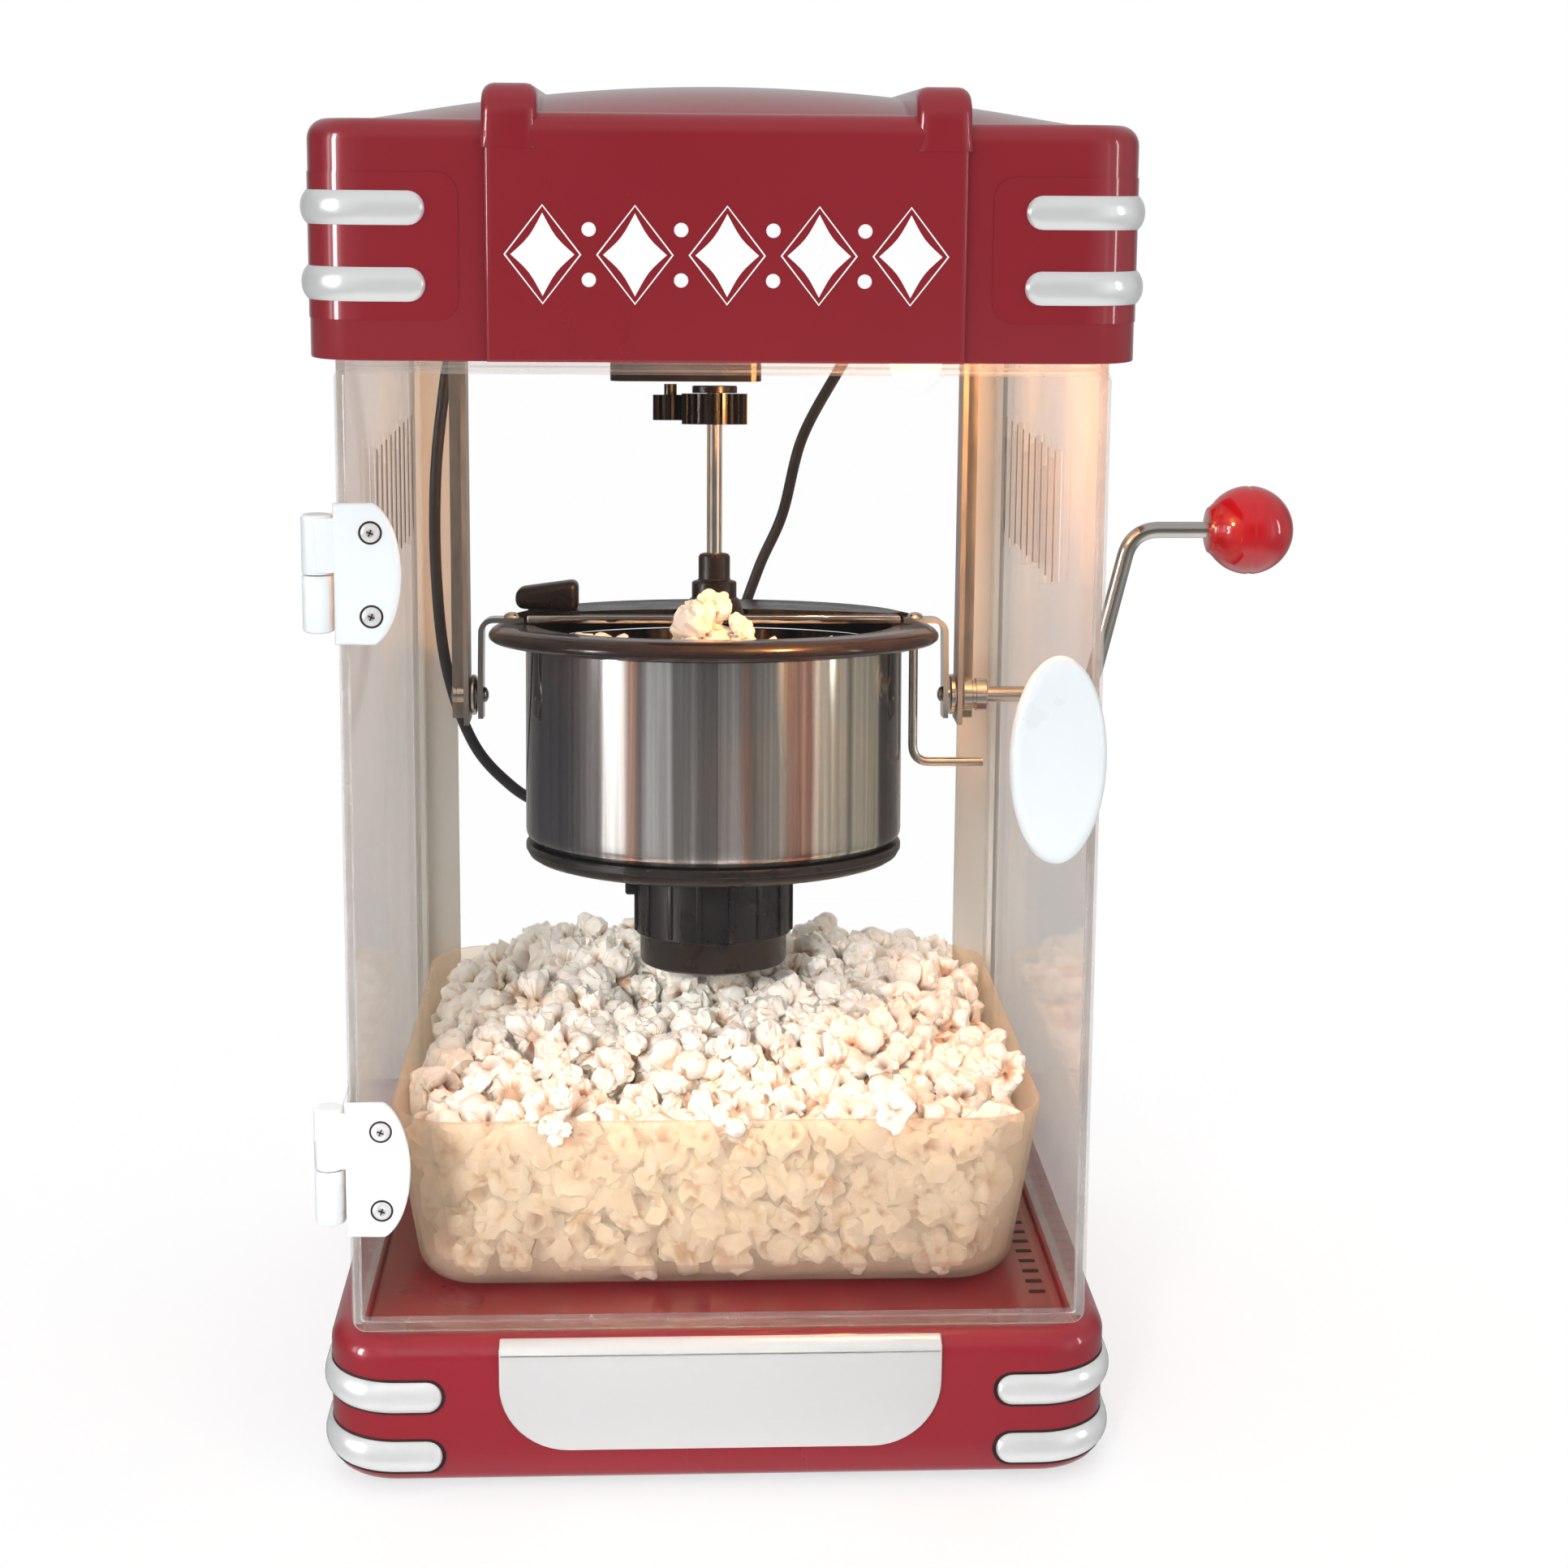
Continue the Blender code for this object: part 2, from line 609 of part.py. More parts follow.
def kettle(axis):
    inner = POT_R - POT_WALL
    floor = POT_BOTTOM + POT_WALL
    pot = [(0, floor), (inner - 3, floor), (inner, floor + 3), (inner, POT_TOP), (POT_R, POT_TOP),
           (POT_R, POT_BOTTOM + 3), (POT_R - 3, POT_BOTTOM), (0, POT_BOTTOM)]
    turned("kettle_pot", pot, STEEL, axis, steps=48)
    rim = [(RIM_IN_R, RIM_TOP), (RIM_R - 4, RIM_TOP), (RIM_R - 0.5, RIM_TOP - 2), (RIM_R, RIM_TOP - 4),
           (RIM_R - 2, RIM_BOTTOM + 1.5), (POT_R + 4, RIM_BOTTOM), (RIM_IN_R, RIM_BOTTOM)]
    turned("kettle_rim", rim, BLACK, axis, steps=48, closed=True)
    top = POT_BOTTOM - GAP
    ring = [(0, top), (POT_R, top), (POT_R, top - 4), (POT_R - 4, RING_BOTTOM), (0, RING_BOTTOM)]
    turned("kettle_base_ring", ring, BLACK, axis, steps=48)
    top = RING_BOTTOM - GAP
    low = HEATER_BOTTOM
    housing = [(0, top), (HEATER_R, top), (HEATER_R, low + 12), (HEATER_R - 2, low + 11),
               (HEATER_R - 2, low + 2), (HEATER_R - 4, low), (0, low)]
    housing = turned("heater_housing", housing, BLACK, axis, steps=32)
    join(housing, box_shape(-HEATER_R - 4, -HEATER_R + 3, -5, 5, top - 14, top - 2))


def lid(axis, lid_axis):
    bar = from_bmesh("lid_crossbar", box_shape(-73.5, 73.5, -7, 7, RIM_TOP + GAP, RIM_TOP + 3.5), BLACK, axis)
    join(bar, cylinder_shape(12.5, (0, 0, RIM_TOP + 6), 10, sides=28, radius2=10))
    join(bar, cylinder_shape(8.8, (0, 0, RIM_TOP + 13), 8, sides=28))
    join(bar, cylinder_shape(6.2, (0, 0, (RIM_TOP + 14 + HUB_TOP) / 2), HUB_TOP - RIM_TOP - 14, sides=24))
    cut(bar, cylinder_shape(SHAFT_R + 0.4, (0, 0, RIM_TOP + 15), 60, sides=20))
    low = RIM_TOP + GAP - LID_HINGE_Z
    flap = from_bmesh("lid_rear", cylinder_shape(
        80.5, (0, -LID_HINGE_Y, low + 1.4), 2.8, sides=56, radius2=77.5), BLACK, lid_axis)
    cut(flap, box_shape(-100, 100, -120, 0.3, -20, 20))
    cut(flap, cylinder_shape(LID_HOLE_R, (0, -LID_HINGE_Y, 0), 20, sides=28))
    for x in (-30, 30):
        cut(flap, box_shape(x - 14, x + 14, 26, 29.5, -10, 10))
    join(flap, rounded_box(-79, -54, 6, 24, low + 1.5, low + 13, 4.0, 2.5, 0, 3))


def gear_shape(teeth, low, high, phase=0.0):
    """A spur gear: a disc whose edge steps out and in once for each tooth. Phase is in teeth."""
    root = GEAR_MODULE * (teeth / 2 - 1.15)
    tip = GEAR_MODULE * (teeth / 2 + 0.9)
    bm = bmesh.new()
    ring = []
    for i in range(teeth):
        for offset, radius in ((-0.30, root), (-0.15, tip), (0.15, tip), (0.30, root)):
            a = 2 * math.pi * (i + offset + phase) / teeth
            ring.append(bm.verts.new((radius * math.cos(a), radius * math.sin(a), low)))
    face = bm.faces.new(ring)
    lifted = bmesh.ops.extrude_face_region(bm, geom=[face])
    for item in lifted["geom"]:
        if isinstance(item, bmesh.types.BMVert):
            item.co.z = high
    return bm


def drive(stir_axis, pinion_axis):
    floor = POT_BOTTOM + POT_WALL
    shaft = [(0, GEAR_TOP + 2), (SHAFT_R - 0.6, GEAR_TOP + 2), (SHAFT_R, GEAR_TOP + 1.4),
             (SHAFT_R, floor + 3), (0, floor + 3)]
    stirrer = turned("stirrer", shaft, STEEL, stir_axis, steps=20)
    wire = bent_route([(0, 0, floor + 8), (52, 0, floor + 8), (52, 0, floor + 4), (30, 26, floor + 4)], 3)
    paddle = as_mesh(tube("stirrer_paddle", wire, 1.4, STEEL, stir_axis))
    CUTTERS.objects.link(paddle)
    PARTS.objects.unlink(paddle)
    paddle.hide_render = True
    paddle.display_type = "WIRE"
    boolean(stirrer, paddle, "UNION")
    gear = from_bmesh("stir_gear", gear_shape(GEAR_TEETH, GEAR_BOTTOM, GEAR_TOP), BLACK, stir_axis)
    cut(gear, cylinder_shape(SHAFT_R + 0.2, (0, 0, GEAR_TOP), 40, sides=20))
    facing = (MESH_ANGLE + math.pi) / (2 * math.pi) * PINION_TEETH
    pinion = from_bmesh("drive_pinion", gear_shape(
        PINION_TEETH, GEAR_BOTTOM + 1.5, GEAR_TOP - 0.5, facing % 1.0), BLACK, pinion_axis)
    join(pinion, cylinder_shape(2.5, (0, 0, GEAR_TOP), 7.5, sides=16))


def strap_and_hanger(side, name, axis, parent):
    low, high = sorted((side * STRAP_X, side * (STRAP_X + STRAP_T)))
    strap = from_bmesh(f"strap_{name}", box_shape(
        low, high, -STRAP_HALF_Y, STRAP_HALF_Y, -9, RIM_TOP + GAP + STRAP_T), STEEL, axis)
    low, high = sorted((side * 74, side * (STRAP_X + 1)))
    join(strap, box_shape(low, high, -STRAP_HALF_Y, STRAP_HALF_Y, RIM_TOP + GAP, RIM_TOP + GAP + STRAP_T))
    low, high = sorted((side * HANGER_X, side * (HANGER_X + 2)))
    hanger = from_bmesh(f"hanger_{name}", box_shape(
        low, high, -7, 9.5, HANGER_BOTTOM, CEILING_Z - GAP), GREY, parent)
    low, high = sorted((side * HANGER_X, side * (HANGER_X + 7.5)))
    join(hanger, box_shape(low, high, 7.5, 9.5, HANGER_BOTTOM, CEILING_Z - GAP))
    cut(hanger, cylinder_shape(ROD_R + 0.6, (side * HANGER_X, 0, PIVOT_Z), 20, "X", 20))


def crank(tilt_axis, parent):
    start = STRAP_X + STRAP_T + GAP
    profile = [(0, 10.2), (3.2, 10.2), (3.2, 3.0), (8.0, 3.0), (8.0, 0.0), (0, 0.0)]
    pin = turned("trunnion_left", profile, STEEL, tilt_axis, "X", (-start, 0, 0), 24)
    pin.rotation_euler = (0.0, -math.pi / 2, 0.0)
    corners = [(start, 0, 0), (149, 0, 0), (164.5, 0, CRANK_RISE), (KNOB_X - KNOB_R + 0.4, 0, CRANK_RISE)]
    tube("crank_rod", bent_route(corners, 9), ROD_R, STEEL, tilt_axis, 3)
    bore = ROD_R + 0.4
    collar = [(bore, 9.8), (6.5, 9.8), (6.5, 0.0), (bore, 0.0)]
    turned("crank_collar", collar, STEEL, tilt_axis, "X", (HANGER_X + 2.4, 0, 0), 24, closed=True)
    neck = KNOB_R - 0.8
    ball = [(0, KNOB_R)] + [(KNOB_R * math.sin(t), KNOB_R * math.cos(t))
                            for t in (math.radians(15 * i) for i in range(1, 11))]
    ball += [(7.5, -neck), (0, -neck)]
    turned("crank_knob", ball, BALL_RED, tilt_axis, "X", (KNOB_X, 0, CRANK_RISE), 32)
    bush = [(bore, 5.4), (8.5, 5.4), (8.5, 3.7), (5.2, 3.7), (5.2, 0.0), (bore, 0.0)]
    turned("crank_bush", bush, WHITE, parent, "X", (CAB_HALF_W - WINDOW_T - 0.4, 0, PIVOT_Z), 24, closed=True)


def stop_rod(axis):
    route = bent_route([(79, 0, 19), (79, 0, -27), (107, 0, -27)], 7)
    tube("stop_rod", route, 1.8, STEEL, axis)


# ---------------------------------------------------------------- drive, lamp, leads, tub

def electrics(parent):
    from_bmesh("gearbox", rounded_box(
        -40.5, 17.5, -12, 46, GEARBOX_BOTTOM, CEILING_Z - GAP, 4.0, 0, 0, 3), BLACK, parent)
    top = CEILING_Z + CEILING_T + GAP
    motor = [(0, 46), (5, 46), (5, 40), (24, 40), (26, 37), (26, 3), (24, 0), (0, 0)]
    turned("motor", motor, GREY, parent, centre=(-12, 17, top), steps=28)
    socket = [(0, 24), (9, 24), (11, 20), (13, 6), (13, 0), (0, 0)]
    turned("lamp_socket", socket, WHITE, parent, centre=(*LAMP_XY, top), steps=24)
    low = LAMP_BOTTOM
    bulb = [(0, top - GAP), (5, top - GAP), (5.5, top - 4), (9, low + 9), (8.3, low + 4.5),
            (5.5, low + 1.3), (0, low)]
    turned("lamp_bulb", bulb, GLOW, parent, centre=(*LAMP_XY, 0), steps=24)


def leads(parent):
    top = CEILING_Z - GAP
    back = [(60, 62, top), (60, 62, top - 10), (56, 68, 370), (43, 84, 340), (29, 96, 306),
            (18, 98.5, 282), (11, 98.5, 250), (7, 97, 215), (4, 90, 194), (2, 80.5, 187)]
    tube("lead_rear", smooth_route(back, 9), LEAD_R, BLACK, parent)
    left = [(-104, 32, top), (-104, 32, top - 10), (-107, 32, 366), (-111, 32, 330), (-111.5, 34, 290),
            (-108, 38, 250), (-98, 46, 217), (-83, 54, 197), (-66, 53, 187.5)]
    tube("lead_left", smooth_route(left, 9), LEAD_R, BLACK, parent)


def tub_shape(inset, low, high):
    bm = rounded_box(-TUB_HALF_W + inset, TUB_HALF_W - inset, TUB_FRONT + inset, TUB_BACK - inset, low, high,
                     24.0 - inset, 0, 9.0)
    middle = (TUB_FRONT + TUB_BACK) / 2
    for v in bm.verts:
        t = (v.co.z - TUB_BOTTOM) / (TUB_TOP - TUB_BOTTOM)
        f = TUB_TAPER + (1 - TUB_TAPER) * t
        v.co.x *= f
        v.co.y = middle + (v.co.y - middle) * f
    return bm


def tub(parent):
    shell = from_bmesh("popcorn_tub", tub_shape(0, TUB_BOTTOM, TUB_TOP), FROSTED, parent)
    cut(shell, tub_shape(TUB_WALL, TUB_BOTTOM + TUB_WALL, TUB_TOP + 6))


def build():
    centre = (-(BOX_LEFT + BOX_RIGHT) / 2, -(BOX_FRONT + BOX_BACK) / 2, FOOT_OUT)
    cabinet = empty("cabinet", None, centre)
    door_axis = empty("door_axis", cabinet, (HINGE_X, HINGE_Y, 0))
    tilt_axis = empty("tilt_axis", cabinet, (0, 0, PIVOT_Z))
    kettle_axis = empty("kettle_axis", cabinet, (0, 0, PIVOT_Z), LEAN)
    lid_axis = empty("lid_axis", kettle_axis, (0, LID_HINGE_Y, LID_HINGE_Z))
    stir_axis = empty("stir_axis", kettle_axis, (0, 0, 0))
    mesh_x, mesh_y = GEAR_DISTANCE * math.cos(MESH_ANGLE), GEAR_DISTANCE * math.sin(MESH_ANGLE)
    pinion_axis = empty("pinion_axis", kettle_axis, (mesh_x, mesh_y, 0))
    switch_axis = empty("switch_axis", cabinet, (SWITCH_X, BACK - 2, SWITCH_Z))
    base(cabinet)
    nameplate(cabinet)
    header(cabinet)
    rear_of_header(cabinet, switch_axis)
    frame_posts(cabinet)
    door(door_axis, cabinet)
    kettle(kettle_axis)
    lid(kettle_axis, lid_axis)
    drive(stir_axis, pinion_axis)
    for side, name in ((-1, "left"), (1, "right")):
        strap_and_hanger(side, name, kettle_axis, cabinet)
    crank(tilt_axis, cabinet)
    stop_rod(kettle_axis)
    electrics(cabinet)
    leads(cabinet)
    tub(cabinet)


build()
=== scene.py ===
"""The looks of the popcorn maker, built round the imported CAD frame.

Lengths are millimetres in the cabinet's frame (X = 0 and Y = 0 on the kettle's centre line, Z = 0 at
the base's skirt) unless a name ends in _M. CAB, KETTLE and CRANK turn them into the world.
"""
import json
import random
from math import atan2, cos, exp, hypot, pi, radians, sin, sqrt

import bmesh
import bpy
import numpy as np
from mathutils import Matrix, Vector, noise


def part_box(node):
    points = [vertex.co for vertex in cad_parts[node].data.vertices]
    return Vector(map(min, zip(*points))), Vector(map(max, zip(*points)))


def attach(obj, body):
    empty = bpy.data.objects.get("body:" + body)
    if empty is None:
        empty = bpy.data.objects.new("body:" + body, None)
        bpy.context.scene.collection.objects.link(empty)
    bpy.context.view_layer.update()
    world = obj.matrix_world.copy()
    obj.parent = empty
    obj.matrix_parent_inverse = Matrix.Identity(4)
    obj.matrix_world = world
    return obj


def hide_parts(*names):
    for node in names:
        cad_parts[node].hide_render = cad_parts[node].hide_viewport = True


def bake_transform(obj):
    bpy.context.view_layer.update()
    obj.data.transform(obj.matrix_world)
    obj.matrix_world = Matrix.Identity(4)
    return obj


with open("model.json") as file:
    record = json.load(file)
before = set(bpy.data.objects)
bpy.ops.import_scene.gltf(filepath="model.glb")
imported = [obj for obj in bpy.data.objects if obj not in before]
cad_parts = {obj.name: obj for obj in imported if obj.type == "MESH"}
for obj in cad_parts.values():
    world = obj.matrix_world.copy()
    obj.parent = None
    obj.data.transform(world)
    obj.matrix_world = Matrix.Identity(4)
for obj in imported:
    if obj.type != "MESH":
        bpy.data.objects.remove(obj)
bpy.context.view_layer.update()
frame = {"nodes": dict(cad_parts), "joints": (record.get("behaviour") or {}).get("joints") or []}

MM = 0.001
JOINTS = {j["name"]: j for j in frame["joints"]}
PIVOT = Vector(JOINTS["kettle_tilt"]["pos_m"])
DRIVE_AXIS = JOINTS["stirrer_spin"]["axis"]
LEAN = -atan2(DRIVE_AXIS[1], DRIVE_AXIS[2])
SKIRT_Z_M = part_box("base_shell")[0].z
PIVOT_Z = (PIVOT.z - SKIRT_Z_M) / MM
CAB = Matrix.Translation((PIVOT.x, PIVOT.y, SKIRT_Z_M)) @ Matrix.Scale(MM, 4)
CRANK = Matrix.Translation(PIVOT) @ Matrix.Scale(MM, 4)
KETTLE = Matrix.Translation(PIVOT) @ Matrix.Rotation(LEAN, 4, "X") @ Matrix.Scale(MM, 4)
INTO_CAB = CAB.inverted()


def cad(node):
    """A node's box in the cabinet's millimetres: lowest and highest corner."""
    low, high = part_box(node)
    return INTO_CAB @ low, INTO_CAB @ high


BASE_LOW, BASE_HIGH = cad("base_shell")
BASE_CORNER = 25.0
HEAD_LOW, HEAD_HIGH = cad("header_shell")
HEADER_FRONT = HEAD_LOW.y + 3.3          # the side sections lie behind the centre panel
HEADER_TOP = 467.0
HEADER_CORNER = 21.0
PANEL_HALF = 77.2
RIB_IN, RIB_OUT = 60.5, 78.5
TUB_LOW, TUB_HIGH = cad("popcorn_tub")
TUB_MIDDLE = (TUB_LOW.y + TUB_HIGH.y) / 2
TUB_TAPER = 0.915
TUB_CORNER = 24.0
SLIT_YS = [-52 + 17 * i for i in range(9)]


# ---------------------------------------------------------------- shader nodes

def fill(tree, made, inputs):
    """Give inputs their values, or link them to other nodes' outputs."""
    for key, value in inputs.items():
        if isinstance(value, bpy.types.NodeSocket):
            tree.links.new(value, made.inputs[key])
        else:
            made.inputs[key].default_value = value


def add(tree, kind, inputs=None, out=0, **settings):
    """Add a shader node and return one of its outputs."""
    made = tree.nodes.new("ShaderNode" + kind)
    for key, value in settings.items():
        setattr(made, key, value)
    fill(tree, made, inputs or {})
    return made.outputs[out]


def texture(tree, scale, detail=4.0, roughness=0.5, stretch=None, source=None):
    if source is None:
        source = add(tree, "TexCoord", out="Object")
    if stretch:
        source = add(tree, "Mapping", {"Vector": source, "Scale": stretch})
    return add(tree, "TexNoise", {"Vector": source, "Scale": scale, "Detail": detail, "Roughness": roughness})


def ramp(tree, source, stops):
    """Colours along 0 to 1. A stop is (place, colour), and a plain number is a grey."""
    made = tree.nodes.new("ShaderNodeValToRGB")
    elements = made.color_ramp.elements
    while len(elements) < len(stops):
        elements.new(0.5)
    for element, (place, colour) in zip(elements, stops):
        element.position = place
        element.color = (*(colour if isinstance(colour, tuple) else (colour,) * 3), 1.0)
    tree.links.new(source, made.inputs["Fac"])
    return made.outputs["Color"]


def spread(tree, source, low, high, start=0.3, end=0.7, **settings):
    """Map start..end of a value to low..high."""
    return add(tree, "MapRange", {"Value": source, "From Min": start, "From Max": end,
                                  "To Min": low, "To Max": high}, **settings)


def mix(tree, share, first, second, blend="MIX"):
    return add(tree, "Mix", {0: share, 6: first, 7: second}, 2, data_type="RGBA", blend_type=blend)


def bump(tree, source, strength, distance_m):
    return add(tree, "Bump", {"Height": source, "Strength": strength, "Distance": distance_m})


def turn_and_height(tree, vector):
    """Turn about Z, 0 to 1 with 0.5 at the back and both ends at the front, and the height."""
    x = add(tree, "SeparateXYZ", {"Vector": vector})
    y, z = x.node.outputs["Y"], x.node.outputs["Z"]
    return spread(tree, add(tree, "Math", {0: x, 1: y}, operation="ARCTAN2"), 0.0, 1.0, -pi, pi), z


# ---------------------------------------------------------------- materials


def new_material(name, slot, **values):
    mat = bpy.data.materials.new(name)
    mat.use_nodes = True
    shader = mat.node_tree.nodes["Principled BSDF"]
    fill(mat.node_tree, shader, {key.replace("_", " "): value for key, value in values.items()})
    return mat, mat.node_tree, shader


def surface(name, slot, dark, light, scale, rough, bump_scale=0.0, bump_m=0.0, stretch=None, **values):
    """A Principled finish whose colour and roughness wander a little, with a fine bump."""
    mat, tree, shader = new_material(name, slot, **values)
    tone = texture(tree, scale, 5.0, 0.55, stretch)
    fill(tree, shader, {"Base Color": ramp(tree, tone, [(0.3, dark), (0.7, light)]),
                        "Roughness": spread(tree, tone, *rough)})
    if bump_scale:
        fine = texture(tree, bump_scale, 3.0, 0.5, stretch)
        fill(tree, shader, {"Normal": bump(tree, fine, 0.5, bump_m)})
    return mat


def white_plastic(name, tone):
    light = tuple(c * 1.012 for c in tone)
    return surface(name, "white_plastic", tone, light, 24.0, (0.26, 0.30), 420.0, 0.00001,
                   Coat_Weight=0.4, Coat_Roughness=0.10)


# Painted reflections on the pot's wall by turn, 0 and 1 front, 0.25 left, 0.5 back, 0.75 right: bright and
# dark bands and warm copper tints of the surroundings.
POT_PAINTED_REFLECTIONS = (
    (0.0, (0.46, 0.44, 0.42)), (0.0155, (0.42, 0.41, 0.40)), (0.0175, (1.0, 0.99, 0.97)),
    (0.021, (0.66, 0.65, 0.63)), (0.036, (0.55, 0.54, 0.53)), (0.039, (1.0, 0.99, 0.98)),
    (0.060, (0.80, 0.79, 0.78)), (0.063, (0.24, 0.22, 0.22)), (0.070, (0.85, 0.55, 0.44)),
    (0.076, (0.60, 0.50, 0.46)), (0.080, (0.98, 0.98, 0.97)), (0.098, 0.90),
    (0.103, (0.34, 0.34, 0.35)), (0.15, (0.20, 0.20, 0.22)), (0.22, (0.12, 0.12, 0.14)),
    (0.245, (0.36, 0.37, 0.39)), (0.5, (0.66, 0.66, 0.65)), (0.77, (0.34, 0.33, 0.32)),
    (0.80, (0.13, 0.12, 0.12)), (0.838, 0.15), (0.845, (0.70, 0.69, 0.58)),
    (0.879, (0.72, 0.71, 0.60)), (0.882, (0.22, 0.22, 0.19)), (0.887, (0.74, 0.71, 0.60)),
    (0.915, (0.82, 0.77, 0.65)), (0.918, (1.0, 0.86, 0.74)), (0.922, (0.30, 0.17, 0.13)),
    (0.941, (0.62, 0.38, 0.29)), (0.947, (0.60, 0.57, 0.50)), (0.973, (0.50, 0.47, 0.43)),
    (0.977, (0.86, 0.54, 0.42)), (0.984, (0.88, 0.86, 0.83)))


def mirror_steel():
    """Polished pot: vertical polishing streaks vary the tone and the roughness round the wall, and the base
    colour carries painted reflections by turn.
    """
    mat, tree, shader = new_material("mirror_steel", "polished_steel", Metallic=0.92)
    upright = add(tree, "Mapping", {
        "Vector": add(tree, "TexCoord", out="Object"), "Rotation": (-LEAN, 0.0, 0.0),
        "Location": -(Matrix.Rotation(-LEAN, 3, "X") @ PIVOT)})
    turn, _ = turn_and_height(tree, upright)
    streaks = texture(tree, 150.0, 5.0, stretch=(1.0, 1.0, 0.05), source=upright)
    lines = texture(tree, 420.0, 3.0, stretch=(1.0, 1.0, 0.012), source=upright)
    shake = 0.008
    centred = add(tree, "Math", {0: turn, 1: shake / 2}, operation="SUBTRACT")
    shaken = add(tree, "Math", {0: streaks, 1: shake, 2: centred}, operation="MULTIPLY_ADD")
    shade = ramp(tree, lines, [(0.38, (0.72, 0.71, 0.70)), (0.60, 1.0)])
    # Painted reflections: the base colour takes bright, dark and copper bands by turn round the wall, times
    # fine polishing lines.
    fill(tree, shader, {"Base Color": mix(tree, 1.0, ramp(tree, shaken, POT_PAINTED_REFLECTIONS), shade, "MULTIPLY"),
                        "Roughness": spread(tree, streaks, 0.05, 0.10),
                        "Normal": bump(tree, streaks, 0.4, 0.000012)})
    return mat


def clear_plastic(name, slot, tint, shine, haze_colour, haze, gain):
    """Thin clear sheet: see-through head-on, glossy at grazing angles, with faint handling haze."""
    mat, tree, shader = new_material(name, slot)
    tree.nodes.remove(shader)
    scuffs = texture(tree, 30.0, 6.0, 0.6)
    clear = add(tree, "BsdfTransparent", {"Color": (*tint, 1.0)})
    gloss = add(tree, "BsdfGlossy", {"Color": (1.0,) * 4,
                                     "Roughness": spread(tree, scuffs, shine, shine + 0.05)})
    grazing = spread(tree, add(tree, "Fresnel", {"IOR": 1.49}), 0.004, gain, 0.034, 1.0)
    sheet = add(tree, "MixShader", {"Fac": grazing, 1: clear, 2: gloss})
    film = add(tree, "BsdfDiffuse", {"Color": (*haze_colour, 1.0)})
    amount = spread(tree, scuffs, haze * 0.6, haze * 1.4)
    veil = add(tree, "MixShader", {"Fac": amount, 1: sheet, 2: film})
    fill(tree, tree.nodes["Material Output"], {"Surface": veil})
    return mat


def popcorn_flake():
    """Popped corn: creamy white, brown where the hull clings, with painted shade that turns it yellower and
    darker down each crease and hollow.
    """
    mat, tree, shader = new_material(
        "popcorn_flake", "frosted_plastic", Roughness=0.7, Subsurface_Weight=0.12, Subsurface_Scale=0.002,
        Subsurface_Radius=(1.0, 0.8, 0.6), Specular_IOR_Level=0.3)
    crease = add(tree, "Attribute", out="Fac", attribute_name="crease")
    hull = add(tree, "Attribute", out="Fac", attribute_name="hull")
    speckle = texture(tree, 260.0, 4.0, 0.6)
    # Painted shade: the colour goes yellower and darker with the crease value.
    depth = add(tree, "Math", {0: speckle, 1: 0.22, 2: crease}, operation="MULTIPLY_ADD")
    tone = ramp(tree, depth, [(0.12, (0.90, 0.865, 0.79)), (0.45, (0.86, 0.77, 0.64)),
                              (0.85, (0.62, 0.43, 0.30))])
    brown = ramp(tree, speckle, [(0.35, (0.20, 0.07, 0.035)), (0.65, (0.42, 0.20, 0.11))])
    fill(tree, shader, {"Base Color": mix(tree, hull, tone, brown),
                        "Normal": bump(tree, speckle, 0.4, 0.0003)})
    return mat


def lit_bulb():
    mat, tree, shader = new_material("lit_bulb", "warm_bulb", Roughness=0.1, Emission_Strength=4.5)
    tone = ramp(tree, texture(tree, 60.0), [(0.3, (1.0, 0.50, 0.16)), (0.7, (1.0, 0.66, 0.30))])
    fill(tree, shader, {"Emission Color": tone, "Base Color": tone})
    return mat


def floor_white():
    """Pale floor that shows a soft shadow under the object and fades into the bright studio."""
    mat, tree, shader = new_material("floor_white", None, Roughness=0.7)
    fill(tree, shader, {"Base Color": ramp(tree, texture(tree, 3.0), [(0.3, 0.90), (0.7, 0.92)])})
    reach = add(tree, "VectorMath", {0: add(tree, "TexCoord", out="Object")}, "Value", operation="LENGTH")
    fade = spread(tree, reach, 0.62, 1.0, 0.1, 0.6, interpolation_type="SMOOTHSTEP")
    faded = add(tree, "MixShader", {"Fac": fade, 1: shader.outputs[0], 2: add(tree, "Emission")})
    fill(tree, tree.nodes["Material Output"], {"Surface": faded})
    return mat


RED = surface("red_lacquer", "red_shell", (0.236, 0.0095, 0.018), (0.250, 0.011, 0.020), 9.0, (0.26, 0.32),
              60.0, 0.00002, Coat_Weight=1.0, Coat_Roughness=0.025, Specular_IOR_Level=0.3)
KNOB = surface("knob_red", "knob_red", (0.40, 0.004, 0.010), (0.42, 0.006, 0.012), 30.0, (0.12, 0.16),
               40.0, 0.00001, Coat_Weight=1.0, Coat_Roughness=0.02)
SILVER = surface("satin_silver", "satin_silver", (0.78, 0.795, 0.79), (0.81, 0.825, 0.82), 90.0, (0.20, 0.25),
                 2200.0, 0.000003, Metallic=0.42, Coat_Weight=0.4, Coat_Roughness=0.08)
PLATE = surface("brushed_plate", "satin_silver", (0.705, 0.705, 0.695), (0.715, 0.715, 0.705), 2600.0,
                (0.26, 0.27), stretch=(0.004, 1.0, 1.0), Metallic=0.38, Coat_Weight=0.2, Coat_Roughness=0.1)
WHITE = white_plastic("white_plastic", (0.70, 0.745, 0.765))
PRINT = white_plastic("print_white", (0.86, 0.86, 0.86))
BLACK = surface("black_plastic", "black_plastic", (0.007, 0.006, 0.006), (0.014, 0.011, 0.011), 60.0,
                (0.22, 0.38), 700.0, 0.00003, Specular_IOR_Level=0.42)
